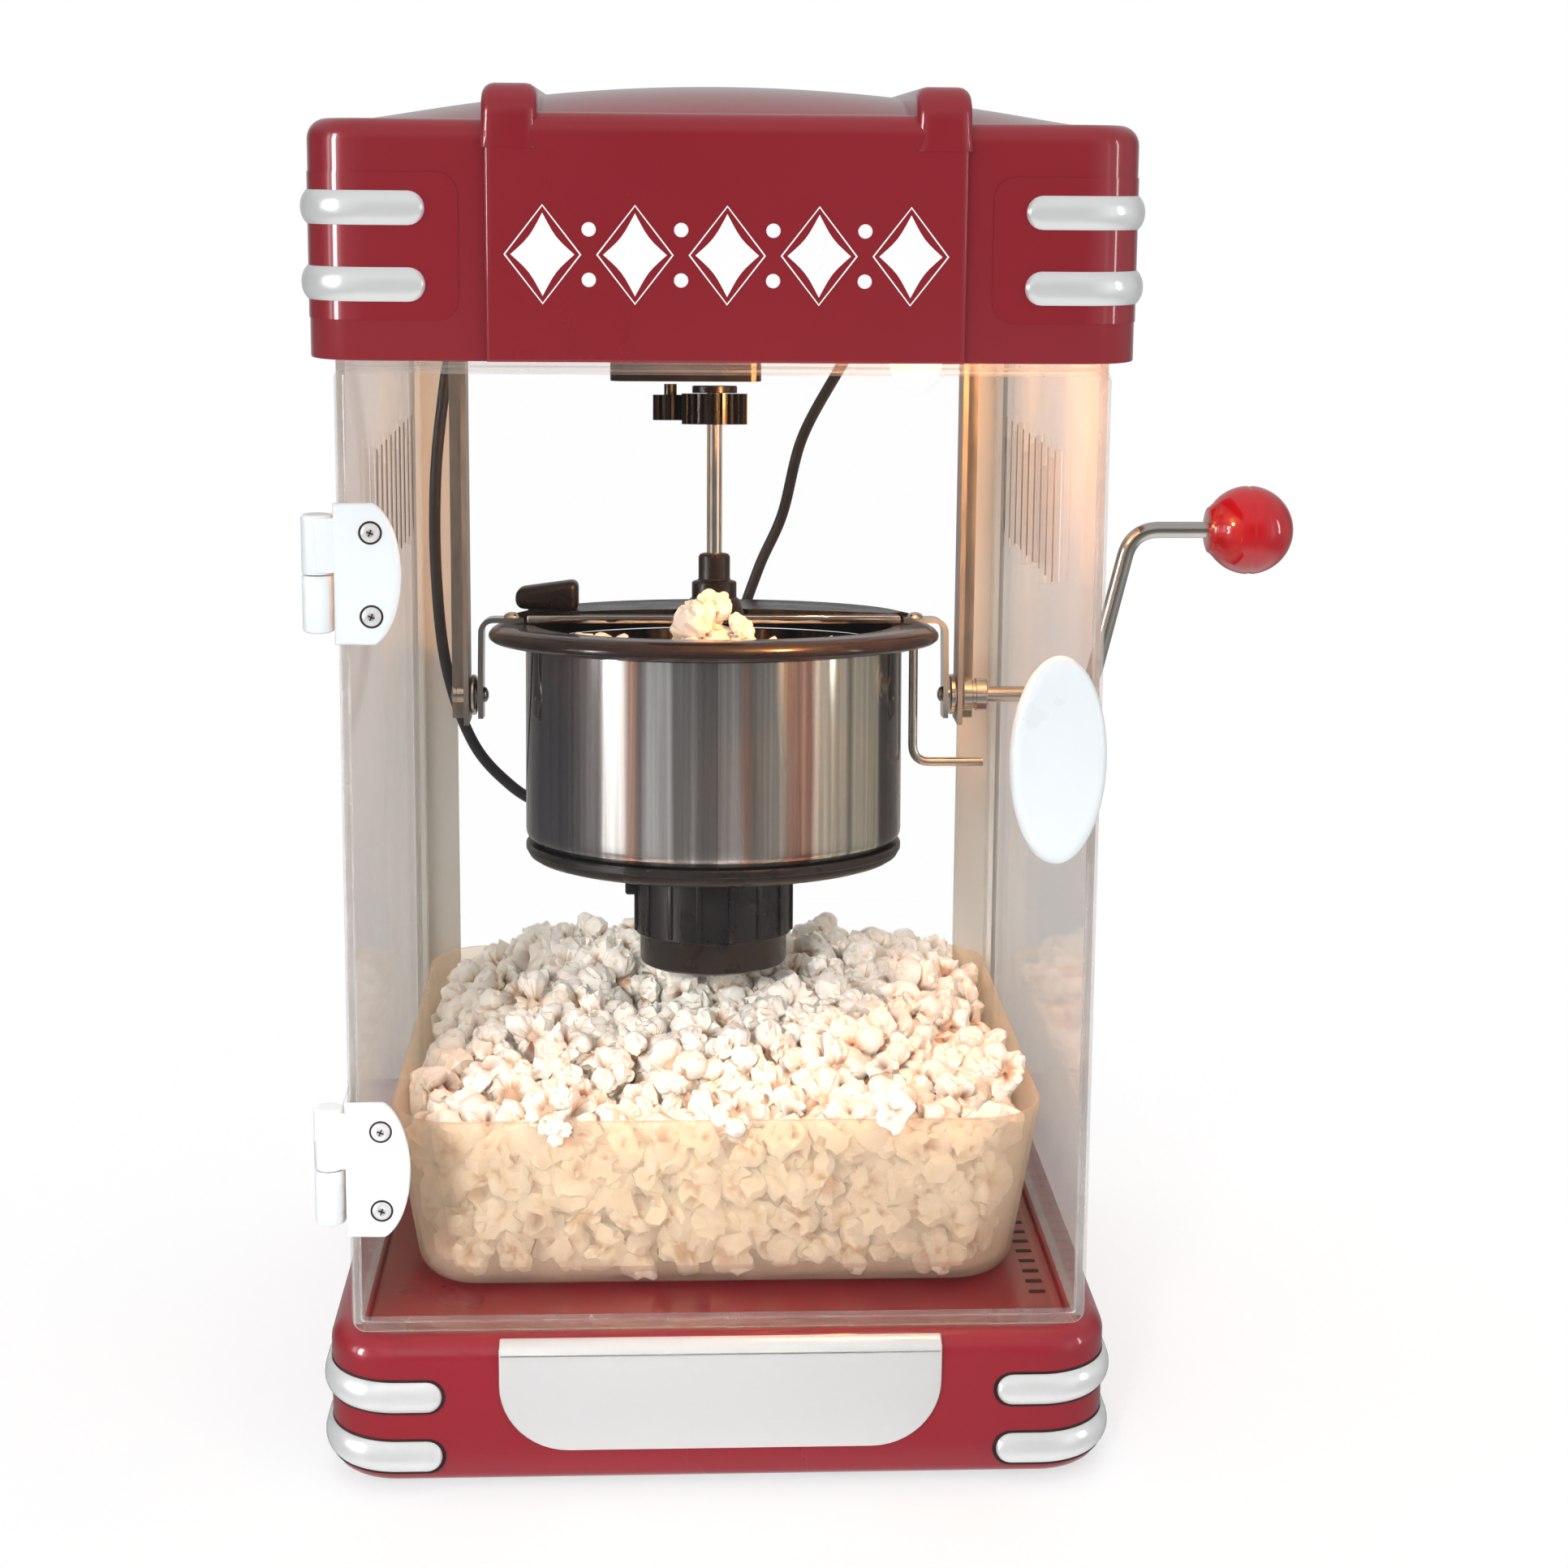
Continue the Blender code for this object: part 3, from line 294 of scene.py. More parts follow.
ENAMEL = surface("brown_enamel", "black_plastic", (0.010, 0.005, 0.0045), (0.018, 0.009, 0.007), 26.0,
                 (0.16, 0.28), 260.0, 0.00002, Coat_Weight=0.35, Coat_Roughness=0.08, Specular_IOR_Level=0.35)
RUBBER = surface("black_rubber", "black_rubber", (0.014, 0.015, 0.018), (0.028, 0.030, 0.034), 80.0,
                 (0.42, 0.60), 900.0, 0.00004)
GREY = surface("grey_steel", "grey_steel", (0.79, 0.77, 0.71), (0.86, 0.84, 0.78), 40.0, (0.30, 0.46),
               500.0, 0.00003, (1.0, 1.0, 0.15), Metallic=0.12)
# Dark steel of the hangers, also used for painted shade lines under the nameplate's lip and along the window
# slits.
HANGER_STEEL_AND_SHADE_LINES = surface("hanger_steel_and_shade_lines", "grey_steel", (0.26, 0.24, 0.21), (0.40, 0.37, 0.33), 120.0, (0.30, 0.45),
                 800.0, 0.00003, (1.0, 1.0, 0.3), Metallic=0.6)
STEEL = surface("warm_steel", "polished_steel", (0.74, 0.69, 0.62), (0.84, 0.79, 0.72), 70.0, (0.09, 0.16),
                700.0, 0.000005, Metallic=1.0)
# Painted shade: near-black for the insides of gaps, slits and recesses (the trims' seats, the deck's slits,
# the screws' crosses and rings).
GROOVE_SHADE = surface("painted_groove_shade", "black_plastic", (0.018, 0.006, 0.006), (0.035, 0.010, 0.010), 60.0,
                 (0.5, 0.7))
POT = mirror_steel()
DOOR_CLEAR = clear_plastic("door_clear", "clear_plastic", (0.999,) * 3, 0.02, (0.9, 0.9, 0.92), 0.002, 0.4)
DOOR_EDGE = clear_plastic("door_edge", "clear_plastic", (0.88, 0.87, 0.865), 0.05, (0.97,) * 3, 0.20, 0.5)
WINDOW_CLEAR = clear_plastic("window_clear", "clear_plastic", (0.975, 0.965, 0.955), 0.04, (0.97, 0.90, 0.86),
                             0.06, 0.6)
WINDOW_EDGE = clear_plastic("window_edge", "clear_plastic", (0.60, 0.55, 0.52), 0.06, (0.80, 0.76, 0.73),
                            0.30, 0.6)
TUB_FROSTED = clear_plastic("tub_frosted", "frosted_plastic", (1.0, 0.978, 0.925), 0.22, (1.0, 0.78, 0.57),
                            0.22, 0.5)
CORN = popcorn_flake()
BULB = lit_bulb()


# ---------------------------------------------------------------- shapes

def add_object(name, data):
    made = bpy.data.objects.new(name, data)
    bpy.context.scene.collection.objects.link(made)
    return made


def make(name, bm, mat, matrix):
    """A bmesh in millimetres as a smooth-shaded object in the world."""
    bmesh.ops.transform(bm, matrix=matrix, verts=bm.verts)
    bmesh.ops.recalc_face_normals(bm, faces=bm.faces)
    mesh = bpy.data.meshes.new(name)
    bm.to_mesh(mesh)
    bm.free()
    mesh.shade_smooth()
    mesh.materials.append(mat)
    return add_object(name, mesh)


def piece(name, bm, mat, body="root", matrix=CAB, stands_for=None, sharp=32):
    """An object that rides on a body, with edges steeper than sharp degrees left sharp."""
    obj = make(name, bm, mat, matrix)
    obj.data.set_sharp_from_angle(angle=radians(sharp))
    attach(obj, body)
    if stands_for:
        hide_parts(stands_for)
    return obj


def kettle_piece(name, bm, mat, stands_for=None, sharp=30, matrix=KETTLE):
    return piece(name, bm, mat, "kettle", matrix, stands_for, sharp)


def merge(*shapes):
    """Several bmeshes as one."""
    whole = shapes[0]
    for other in shapes[1:]:
        mesh = bpy.data.meshes.new("merge")
        other.to_mesh(mesh)
        whole.from_mesh(mesh)
        bpy.data.meshes.remove(mesh)
        other.free()
    return whole


def move(bm, x, y, z):
    bmesh.ops.translate(bm, vec=(x, y, z), verts=bm.verts)
    return bm


def turn_shape(bm, axis, degrees, place=(0, 0, 0)):
    bmesh.ops.transform(bm, matrix=Matrix.Translation(place) @ Matrix.Rotation(radians(degrees), 4, axis),
                        verts=bm.verts)
    return bm


def join_rings(bm, a, b):
    """Faces between two rings of vertices. A ring of one vertex is a point."""
    for i in range(max(len(a), len(b))):
        j = (i + 1) % max(len(a), len(b))
        start = [a[i], a[j]] if len(a) > 1 else [a[0]]
        end = [b[j], b[i]] if len(b) > 1 else [b[0]]
        if len(start) + len(end) > 2:
            bm.faces.new(start + end)


def loft(rings, closed=False):
    """Skin a list of rings of equal length. The ends are capped unless the last ring meets the first."""
    bm = bmesh.new()
    made = [[bm.verts.new(p) for p in ring] for ring in rings]
    for a, b in zip(made, made[1:]):
        join_rings(bm, a, b)
    if closed:
        join_rings(bm, made[-1], made[0])
    else:
        bm.faces.new(made[0][::-1])
        bm.faces.new(made[-1])
    return bm


def circle(radius, steps):
    return [(radius * cos(2 * pi * i / steps), radius * sin(2 * pi * i / steps)) for i in range(steps)]


def turned(profile, steps=64, closed=False):
    """A turned shape about Z from (radius, height) points."""
    bm = bmesh.new()
    rings = [[bm.verts.new((x, y, z)) for x, y in (circle(r, steps) if r else [(0, 0)])] for r, z in profile]
    for a, b in zip(rings, rings[1:] + rings[:closed]):
        join_rings(bm, a, b)
    return bm


def arc(cx, cy, radius, start, end, steps=5):
    """Points of an arc between two angles in degrees."""
    angles = [radians(start + (end - start) * i / steps) for i in range(steps + 1)]
    return [(cx + radius * cos(a), cy + radius * sin(a)) for a in angles]


def rounded_rect(x0, x1, y0, y1, radius, steps=8):
    """Outline of a rounded rectangle, anticlockwise."""
    corners = ((x1 - radius, y0 + radius, -90), (x1 - radius, y1 - radius, 0),
               (x0 + radius, y1 - radius, 90), (x0 + radius, y0 + radius, 180))
    return [p for cx, cy, start in corners for p in arc(cx, cy, radius, start, start + 90, steps)]


def tray(profile, x0, x1, y0, y1, corner, steps):
    """Rounded-rectangle rings from a profile of (inset, height)."""
    rings = []
    for inset, z in profile:
        radius = max(corner - inset, 0.6)
        outline = rounded_rect(x0 + inset, x1 - inset, y0 + inset, y1 - inset, radius, steps)
        rings.append([(x, y, z) for x, y in outline])
    return loft(rings)


def box(x0, x1, y0, y1, z0, z1, round_by=0.0, steps=3):
    bm = bmesh.new()
    bmesh.ops.create_cube(bm, size=1.0)
    bmesh.ops.scale(bm, vec=(x1 - x0, y1 - y0, z1 - z0), verts=bm.verts)
    move(bm, (x0 + x1) / 2, (y0 + y1) / 2, (z0 + z1) / 2)
    if round_by:
        bmesh.ops.bevel(bm, geom=list(bm.edges), offset=round_by, segments=steps, profile=0.5, affect="EDGES")
    return bm


def with_normals(path):
    """Each point (u, v) of a flat path, with the unit normal to its left."""
    for i, (u, v) in enumerate(path):
        before, after = path[max(i - 1, 0)], path[min(i + 1, len(path) - 1)]
        du, dv = after[0] - before[0], after[1] - before[1]
        yield u, v, -dv / hypot(du, dv), du / hypot(du, dv)


def smooth_route(points, spacing):
    """Evenly spaced points on a Catmull-Rom curve through the route's own points."""
    pts = [Vector(p) for p in points]
    pts = [2 * pts[0] - pts[1]] + pts + [2 * pts[-1] - pts[-2]]
    fine = []
    for a, b, c, d in zip(pts, pts[1:], pts[2:], pts[3:]):
        for t in (k / 24 for k in range(24)):
            fine.append(0.5 * (2 * b + (c - a) * t + (2 * a - 5 * b + 4 * c - d) * t * t
                               + (3 * b - a - 3 * c + d) * t ** 3))
    fine = np.array(fine + [pts[-2]])
    walked = np.append(0.0, np.cumsum(np.linalg.norm(np.diff(fine, axis=0), axis=1)))
    even = np.linspace(0.0, walked[-1], max(2, round(walked[-1] / spacing)) + 1)
    return np.stack([np.interp(even, walked, fine[:, axis]) for axis in range(3)], axis=1)


def bent_route(corners, radius, steps):
    """A wire's centre line: straight runs with rounded corners."""
    pts = [Vector(c) for c in corners]
    out = [pts[0]]
    for before, here, after in zip(pts, pts[1:], pts[2:]):
        start = here + (before - here).normalized() * radius
        end = here + (after - here).normalized() * radius
        for t in (i / steps for i in range(steps + 1)):
            out.append((1 - t) ** 2 * start + 2 * t * (1 - t) * here + t * t * end)
    return out + [pts[-1]]


def tube(points, radius, sides=20):
    """A round tube along a route, with a frame carried from point to point and closed ends."""
    pts = [Vector(p) for p in points]
    side = (pts[1] - pts[0]).normalized().orthogonal()
    rings = []
    for i, p in enumerate(pts):
        ahead = (pts[min(i + 1, len(pts) - 1)] - pts[max(i - 1, 0)]).normalized()
        side = (side - side.dot(ahead) * ahead).normalized()
        up = ahead.cross(side)
        rings.append([p + x * side + y * up for x, y in circle(radius, sides)])
    return loft(rings)


# ---------------------------------------------------------------- camera, light, floor

def camera():
    data = bpy.data.cameras.new("camera")
    data.lens = 59.7
    data.sensor_width = 36.0
    data.shift_y = -0.117
    data.clip_start = 0.05
    yaw, pitch, roll = (radians(a) for a in (2.8, 9.4, 0.5))
    ahead = Vector((sin(yaw) * cos(pitch), cos(yaw) * cos(pitch), -sin(pitch)))
    right = Vector((cos(yaw), -sin(yaw), 0.0))
    level = Matrix((right, right.cross(ahead), -ahead)).transposed()
    cam = add_object("camera", data)
    cam.matrix_world = (Matrix.Translation(CAB @ Vector((-21.9, -1008.2, 451.7)))
                        @ (level @ Matrix.Rotation(roll, 3, "Z")).to_4x4())
    bpy.context.scene.camera = cam


def area(name, place, aim, size, energy, beam=180):
    data = bpy.data.lights.new(name, "AREA")
    data.shape = "RECTANGLE"
    data.size, data.size_y = size
    data.energy = energy
    data.spread = radians(beam)
    obj = add_object(name, data)
    obj.location = place
    obj.rotation_euler = (Vector(aim) - Vector(place)).to_track_quat("-Z", "Y").to_euler()
    obj.visible_glossy = False


# Brightness of the studio's walls as reflections see them, by turn: 0 and 1 front, 0.25 left, 0.5 back.
MIRRORED = ((0.0, 0.10), (0.05, 0.14), (0.10, 0.30), (0.15, 0.42), (0.155, 1.4), (0.195, 1.4), (0.20, 0.45),
            (0.225, 0.50), (0.26, 0.12), (0.38, 0.10), (0.44, 0.45), (0.56, 0.45), (0.64, 0.12), (0.72, 0.35),
            (0.80, 0.40), (0.835, 0.5), (0.84, 0.9), (0.855, 0.9), (0.86, 0.50), (0.90, 0.30), (0.95, 0.14),
            (1.0, 0.10))
# Strip lights standing level with the object, seen in reflections only: turn, brightness.
STRIPS = ((0.0, 0.0), (0.170, 0.0), (0.173, 24.0), (0.190, 24.0), (0.193, 0.0), (0.206, 0.0), (0.209, 3.0),
          (0.221, 3.0), (0.224, 0.0), (0.788, 0.0), (0.790, 9.0), (0.798, 9.0), (0.80, 0.0), (1.0, 0.0))
STRIP_HEIGHTS = ((0.455, 0.0), (0.475, 1.0), (0.66, 1.0), (0.70, 0.0))
SOFT = ((0.0, 0.62), (0.25, 0.66), (0.5, 0.62), (0.75, 0.66), (1.0, 0.62))


def sky(tree, walls, low, high, strips=()):
    """A background: walls by turn, faded to low underfoot and to high overhead."""
    turn, z = turn_and_height(tree, add(tree, "TexCoord", out="Generated"))
    height = spread(tree, z, 0.0, 1.0, -1.0, 1.0)
    wall = ramp(tree, turn, walls)
    if strips:
        wall = mix(tree, ramp(tree, height, STRIP_HEIGHTS), wall, ramp(tree, turn, strips), "ADD")
    ends = ramp(tree, height, [(0.0, 0.8), (0.12, 0.7), (0.24, low), (0.42, low), (0.75, high), (1.0, high)])
    share = ramp(tree, height, [(0.30, 1.0), (0.47, 0.0), (0.60, 0.0), (0.80, 1.0)])
    return add(tree, "Background", {"Color": mix(tree, share, wall, ends)})


def studio():
    """A white surround for the camera, soft walls for diffuse light and darker ones for reflections."""
    scene = bpy.context.scene
    scene.view_settings.view_transform = "Standard"
    world = bpy.data.worlds.new("studio")
    scene.world = world
    world.use_nodes = True
    tree = world.node_tree
    plain = tree.nodes["Background"]
    fill(tree, plain, {"Color": (1.0,) * 4})
    seen_by = add(tree, "LightPath").node.outputs
    lighting = add(tree, "MixShader", {"Fac": seen_by["Is Glossy Ray"], 1: sky(tree, SOFT, 0.55, 0.85),
                                       2: sky(tree, MIRRORED, 0.22, 0.42, STRIPS)})
    shown = add(tree, "MixShader", {"Fac": seen_by["Is Camera Ray"], 1: lighting, 2: plain.outputs[0]})
    fill(tree, tree.nodes["World Output"], {"Surface": shown})
    area("key", (-0.9, -1.8, 0.95), (0, 0, 0.22), (1.0, 1.2), 11)
    area("fill", (1.3, -1.5, 0.7), (0, 0, 0.22), (0.8, 1.2), 6)
    area("top", (0.0, 0.1, 1.9), (0, 0, 0.2), (1.2, 1.2), 7)
    area("behind", (0.3, 1.6, 1.0), (0, 0, 0.25), (1.6, 1.4), 7)
    area("into_tub", (-0.50, -1.4, 0.74), (-0.04, 0, 0.075), (0.25, 0.2), 0.21, 16)
    lamp_light = bpy.data.lights.new("cabinet_lamp", "POINT")
    lamp_light.energy = 1.15
    lamp_light.color = (1.0, 0.42, 0.12)
    lamp_light.shadow_soft_size = 0.008
    low, high = cad("lamp_bulb")
    add_object("cabinet_lamp", lamp_light).location = CAB @ Vector(
        ((low.x + high.x) / 2, (low.y + high.y) / 2, low.z - 4))


def floor():
    bm = bmesh.new()
    bmesh.ops.create_grid(bm, x_segments=2, y_segments=2, size=6.0)
    mesh = bpy.data.meshes.new("floor")
    bm.to_mesh(mesh)
    bm.free()
    mesh.materials.append(floor_white())
    obj = add_object("floor", mesh)
    obj.location = (0, 0, -0.0002)
    obj.visible_glossy = False


# ---------------------------------------------------------------- base and header

def base_cover():
    z1 = BASE_HIGH.z
    deck = TUB_LOW.z - 0.4
    profile = [(3.0, deck - 3), (3.0, 1.0), (3.4, 0.2), (4.2, 0.0)] + arc(4.6, 3.6, 3.6, 262, 180, 4)
    profile += [(0.35, 8.0), (0.0, 13.0), (0.0, z1 - 8.5)] + arc(7.6, z1 - 7.4, 7.6, 180, 95, 8)
    profile += [(9.0, z1 - 0.2), (11.2, z1 - 0.2), (12.6, z1 - 0.6), (13.4, z1 - 1.6), (13.6, deck + 0.8),
                (14.6, deck)]
    bm = tray(profile, BASE_LOW.x, BASE_HIGH.x, BASE_LOW.y, BASE_HIGH.y, BASE_CORNER, 12)
    piece("base_cover", bm, RED, stands_for="base_shell", sharp=40)
    # The deck's vent slits are near-black strips on the deck: painted shade of the openings.
    slits = [box(113.5, 119.5, y, y + 2.4, deck - 0.1, deck + 0.12) for y in range(-118, -18, 9)]
    piece("deck_slits", merge(*slits), GROOVE_SHADE)


def wrapped_band(side, half_w, front, corner, start_x, z_mid, half_h, end_r, inner, outer, crown, along=40):
    """A band round a front corner. Its ends are rounded by end_r; its face bulges by crown."""
    run = half_w - corner - start_x
    bend = corner * pi / 2
    total = 2 * run + bend

    def place(s, out):
        if s < run:
            return start_x + s, front - out
        if s < run + bend:
            a = (s - run) / corner
            return half_w - corner + (corner + out) * sin(a), front + corner - (corner + out) * cos(a)
        return half_w + out, front + corner + (s - run - bend)

    stations = {total * i / along for i in range(along + 1) if end_r < total * i / along < total - end_r}
    curl = [end_r * (1 - cos(radians(a))) for a in range(0, 91, 15)]
    stations = sorted(stations.union(curl, (total - c for c in curl)))
    across = [sin(radians(a)) for a in range(-90, 91, 15)]
    rings = []
    for s in stations:
        near = min(s, total - s)
        shrink = end_r - sqrt(max(0.0, end_r ** 2 - (end_r - near) ** 2)) if near < end_r else 0.0
        half = max(half_h - shrink, 0.02)
        fade = min(1.0, (near / 1.2) ** 0.5) if crown else 1.0
        ring = []
        for u in across:
            edge = (1 - abs(u) ** 3.4) * fade if crown else 1.0
            x, y = place(s, inner + (outer - inner) * (0.35 + 0.65 * edge) + crown * (1 - u * u) * fade)
            ring.append((side * x, y, z_mid + half * u))
        x, y = place(s, inner)
        rings.append(ring + [(side * x, y, z_mid + half), (side * x, y, z_mid - half)])
    return loft(rings)


def trims(prefix, half_w, front, corner):
    """Two satin bands round each front corner, each in a near-black seat that paints the shade of the gap
    round it.
    """
    for side, name in ((-1, "left"), (1, "right")):
        for level in ("lower", "upper"):
            low, high = cad(f"{prefix}_trim_{name}_{level}")
            start_x = min(abs(low.x), abs(high.x))
            middle, half = (low.z + high.z) / 2, (high.z - low.z) / 2
            seat = wrapped_band(side, half_w, front, corner, start_x - 1.3, middle, half + 0.9, half + 0.9,
                                -0.4, 0.12, 0)
            piece(f"{prefix}_seat_{name}_{level}", seat, GROOVE_SHADE)
            band = wrapped_band(side, half_w, front, corner, start_x, middle, half, half, 0.0, 1.2, 1.4)
            piece(f"{prefix}_band_{name}_{level}", band, SILVER, stands_for=f"{prefix}_trim_{name}_{level}",
                  sharp=50)


def header_cover():
    x1, y0, y1 = HEAD_HIGH.x, HEADER_FRONT, HEAD_HIGH.y
    z0, z1 = HEAD_LOW.z, HEADER_TOP
    profile = [(3.0, z1 - 6), (3.0, z0 + 0.6), (2.4, z0), (0.7, z0), (0.2, z0 + 0.2), (0.0, z0 + 0.7),
               (0.0, z1 - 6.5)] + arc(6.5, z1 - 6.5, 6.5, 180, 92, 7) + [(9.5, z1)]
    shell = tray(profile, -x1, x1, y0, y1, HEADER_CORNER, 12)
    ribs = [rib(side, HEAD_LOW.y, y1 - 4.0, HEAD_HIGH.z - 2.5) for side in (-1, 1)]
    pads = [wrapped_band(side, x1, y0, HEADER_CORNER, 86.0, 426.6, 23.5, 7.0, -0.5, 0.30, 0, 48)
            for side in (-1, 1)]
    piece("header_cover", merge(shell, centre_panel(z0, z1), dome(x1, y0, y1), *ribs, *pads), RED,
          stands_for="header_shell", sharp=42)


def centre_panel(z0, z1):
    """The raised panel in the middle of the header's front, rolling over on to the roof."""
    front = HEAD_LOW.y
    rise = 7.0
    outline = [(front + 14, z0 + 0.4), (front + 0.6, z0 + 0.1), (front + 0.1, z0 + 0.6), (front, z0 + 1.2)]
    outline += arc(front + rise, z1 + 2.4 - rise, rise, 180, 92, 8)
    outline += [(front + 16, z1 + 2.6), (front + 16, z0 + 6)]
    edge = [(0.0, 1.0), (0.25, 0.45), (0.9, 0.1), (2.2, 0.0)]
    stations = [(x - PANEL_HALF, pull) for x, pull in edge] + [(0.0, 0.0)]
    stations += [(PANEL_HALF - x, pull) for x, pull in reversed(edge)]
    return loft([[(x, y + pull if y < front + 12 else y, z) for y, z in outline] for x, pull in stations])


def dome(half_w, front, back):
    """Pillow roof between the edges of the header."""
    middle, half_d = (front + back) / 2, (back - front) / 2 - 5
    bm = bmesh.new()
    bmesh.ops.create_grid(bm, x_segments=28, y_segments=28, size=1.0)
    for v in bm.verts:
        u, w = v.co.x, v.co.y
        crown = 15.0 * (1 - u * u) * (1 - abs(w) ** 5) * (1 - 0.25 * w * w)
        v.co = (u * (half_w - 5) * sqrt(1 - 0.08 * w * w), middle + w * half_d * sqrt(1 - 0.08 * u * u),
                HEADER_TOP - 1.0 + crown)
    return bm


def rib(side, front, back, top):
    """One roof rib: a rounded bar that rolls over the front edge and dies into the panel's face."""
    middle = side * (RIB_IN + RIB_OUT) / 2
    half = (RIB_OUT - RIB_IN) / 2
    roll = 11.0
    path = [(front - 0.15, 458.0), (front - 0.35, 461.5)]
    path += arc(front - 0.4 + roll, top - roll, roll, 180, 90, 8)
    path += [(front + roll + (back - 4 - front - roll) * t, top) for t in (0.1, 0.3, 0.5, 0.7, 0.9, 0.97)]
    path += arc(back - 5, top - 5, 5, 90, 0, 4) + [(back, 462.0)]
    section = [(-half, -9)] + arc(4 - half, -4, 4, 180, 90, 4) + arc(half - 4, -4, 4, 90, 0, 4) + [(half, -9)]
    rings = [[(middle + x, y + ny * d, z + nz * d) for x, d in section]
             for y, z, ny, nz in with_normals(path)]
    rings[0] = [(middle + x, *path[0]) for x, _ in section]
    return loft(rings)


def ornament():
    """A plain row of white lozenges and dots with a fine outline, where a maker would print a word."""
    z, pitch = 424.5, 29.5
    shapes = []
    for i in range(5):
        x = (i - 2) * pitch
        shapes += [lozenge(x, z, 10.2, 13.2), outline_lozenge(x, z, 12.4, 15.9, 0.6)]
    for i in range(4):
        for dz in (-8.0, 8.0):
            dot = turned([(0, 0.28), (2.0, 0.28), (2.3, 0.0), (0, 0.0)], 24)
            shapes.append(turn_shape(dot, "X", 90, ((i - 1.5) * pitch, HEAD_LOW.y, z + dz)))
    piece("header_ornament", merge(*shapes), PRINT)


def lozenge(x, z, half_w, half_h):
    """A slightly hollow-sided diamond."""
    tips = [Vector((cos(a) * half_w, sin(a) * half_h)) for a in (radians(90 * i) for i in range(5))]
    shares = [k / 6 for k in range(6)]
    outline = [p.lerp(q, t) * (1 - 0.14 * sin(pi * t)) for p, q in zip(tips, tips[1:]) for t in shares]
    return loft([[(x + p.x, HEAD_LOW.y + depth, z + p.y) for p in outline] for depth in (0.02, -0.28)])


def outline_lozenge(x, z, half_w, half_h, line):
    rings = []
    for grow, depth in ((0, 0.02), (0, -0.22), (-line, -0.22), (-line, 0.02)):
        ring = []
        for u, v in circle(1.0, 24):
            k = 1 / (abs(u) / (half_w + grow) + abs(v) / (half_h + grow))
            ring.append((x + k * u, HEAD_LOW.y + depth, z + k * v))
        rings.append(ring)
    return loft(rings, closed=True)


def nameplate():
    """A blank plate with rounded lower corners and a lip rolled forward along its top."""
    low, high = cad("nameplate")
    corner = 24.0
    rings = []
    for inset, y in ((0.0, high.y + 0.1), (0.0, low.y + 0.7), (0.25, low.y + 0.2), (0.8, low.y)):
        z0, z1 = low.z + inset, high.z - inset - 2.5
        x1 = high.x - inset
        outline = arc(corner - x1, z0 + corner, corner, 180, 270, 12)
        outline += arc(x1 - corner, z0 + corner, corner, 270, 360, 12) + [(x1, z1), (-x1, z1)]
        rings.append([(x, y, z) for x, z in outline])
    roll, thick = 5.6, 1.3
    top = high.z - 2.6
    path = [(low.y - 0.1, top - 1.4), (low.y - 0.9, top - 0.9)]
    path += arc(low.y - 0.9 + roll, top - 2.6, roll, 166, 96, 8)
    lip = []
    for x, inset in ((-high.x + 0.2, 0.5), (-high.x + 0.8, 0.0), (high.x - 0.8, 0.0), (high.x - 0.2, 0.5)):
        lip.append([(x, y + inset, z - inset) for y, z in path]
                   + [(x, y + thick, z - thick) for y, z in reversed(path)])
    under = box(-high.x + 0.6, high.x - 0.6, low.y - 0.14, low.y + 0.1, top - 2.0, top - 1.5)
    piece("plate_shadow_line", under, HANGER_STEEL_AND_SHADE_LINES)
    piece("name_plate", merge(loft(rings), loft(lip)), PLATE, stands_for="nameplate", sharp=35)


# ---------------------------------------------------------------- door and windows

def door_sheet():
    """A clear tray with a flange. Its roundings and its rear rim look duller than its faces."""
    low, high = cad("door_panel")
    flange = high.y - low.y
    profile = [(5.2, 2.6), (3.5, 2.65), (2.6, 3.2), (2.3, 4.4), (2.3, flange),
               (0.0, flange), (0.0, 1.8), (0.4, 0.8), (1.2, 0.15), (3.0, 0.0)]
    dull = (1, 4, 7)                     # the profile's runs that start at these points
    rings = []
    for inset, depth in profile:
        outline = rounded_rect(low.x + inset, high.x - inset, low.z + inset, high.z - inset,
                               max(5.0 - inset, 0.8), 6)
        rings.append([(x, low.y + depth, z) for x, z in outline])
    bm = loft(rings)
    for i, face in enumerate(bm.faces):
        face.material_index = int(i // len(outline) in dull)
    sheet = piece("door_sheet", bm, DOOR_CLEAR, "door", stands_for="door_panel", sharp=40)
    sheet.data.materials.append(DOOR_EDGE)


def window_edges():
    """Duller outer edges on the side windows, and a dark line of painted shade along the inside of each vent
    slit.
    """
    shade_lines = []
    for side in ("left", "right"):
        obj = frame["nodes"][f"side_window_{side}"]
        low, high = cad(f"side_window_{side}")
        obj.data.materials.append(WINDOW_EDGE)
        to_cab = INTO_CAB @ obj.matrix_world
        for face in obj.data.polygons:
            centre = to_cab @ face.center
            outer = min(centre.y - low.y, high.y - centre.y, centre.z - low.z, high.z - centre.z) < 1.0
            face.material_index = int(outer and abs(face.normal.x) < 0.8)
        inner = low.x if side == "right" else high.x
        # Painted shade: a thin dark strip beside each slit.
        shade_lines += [box(inner - 0.25, inner + 0.25, y - 1.7, y - 1.2, 300.5, 349.5) for y in SLIT_YS]
    piece("slit_shade_lines", merge(*shade_lines), HANGER_STEEL_AND_SHADE_LINES)


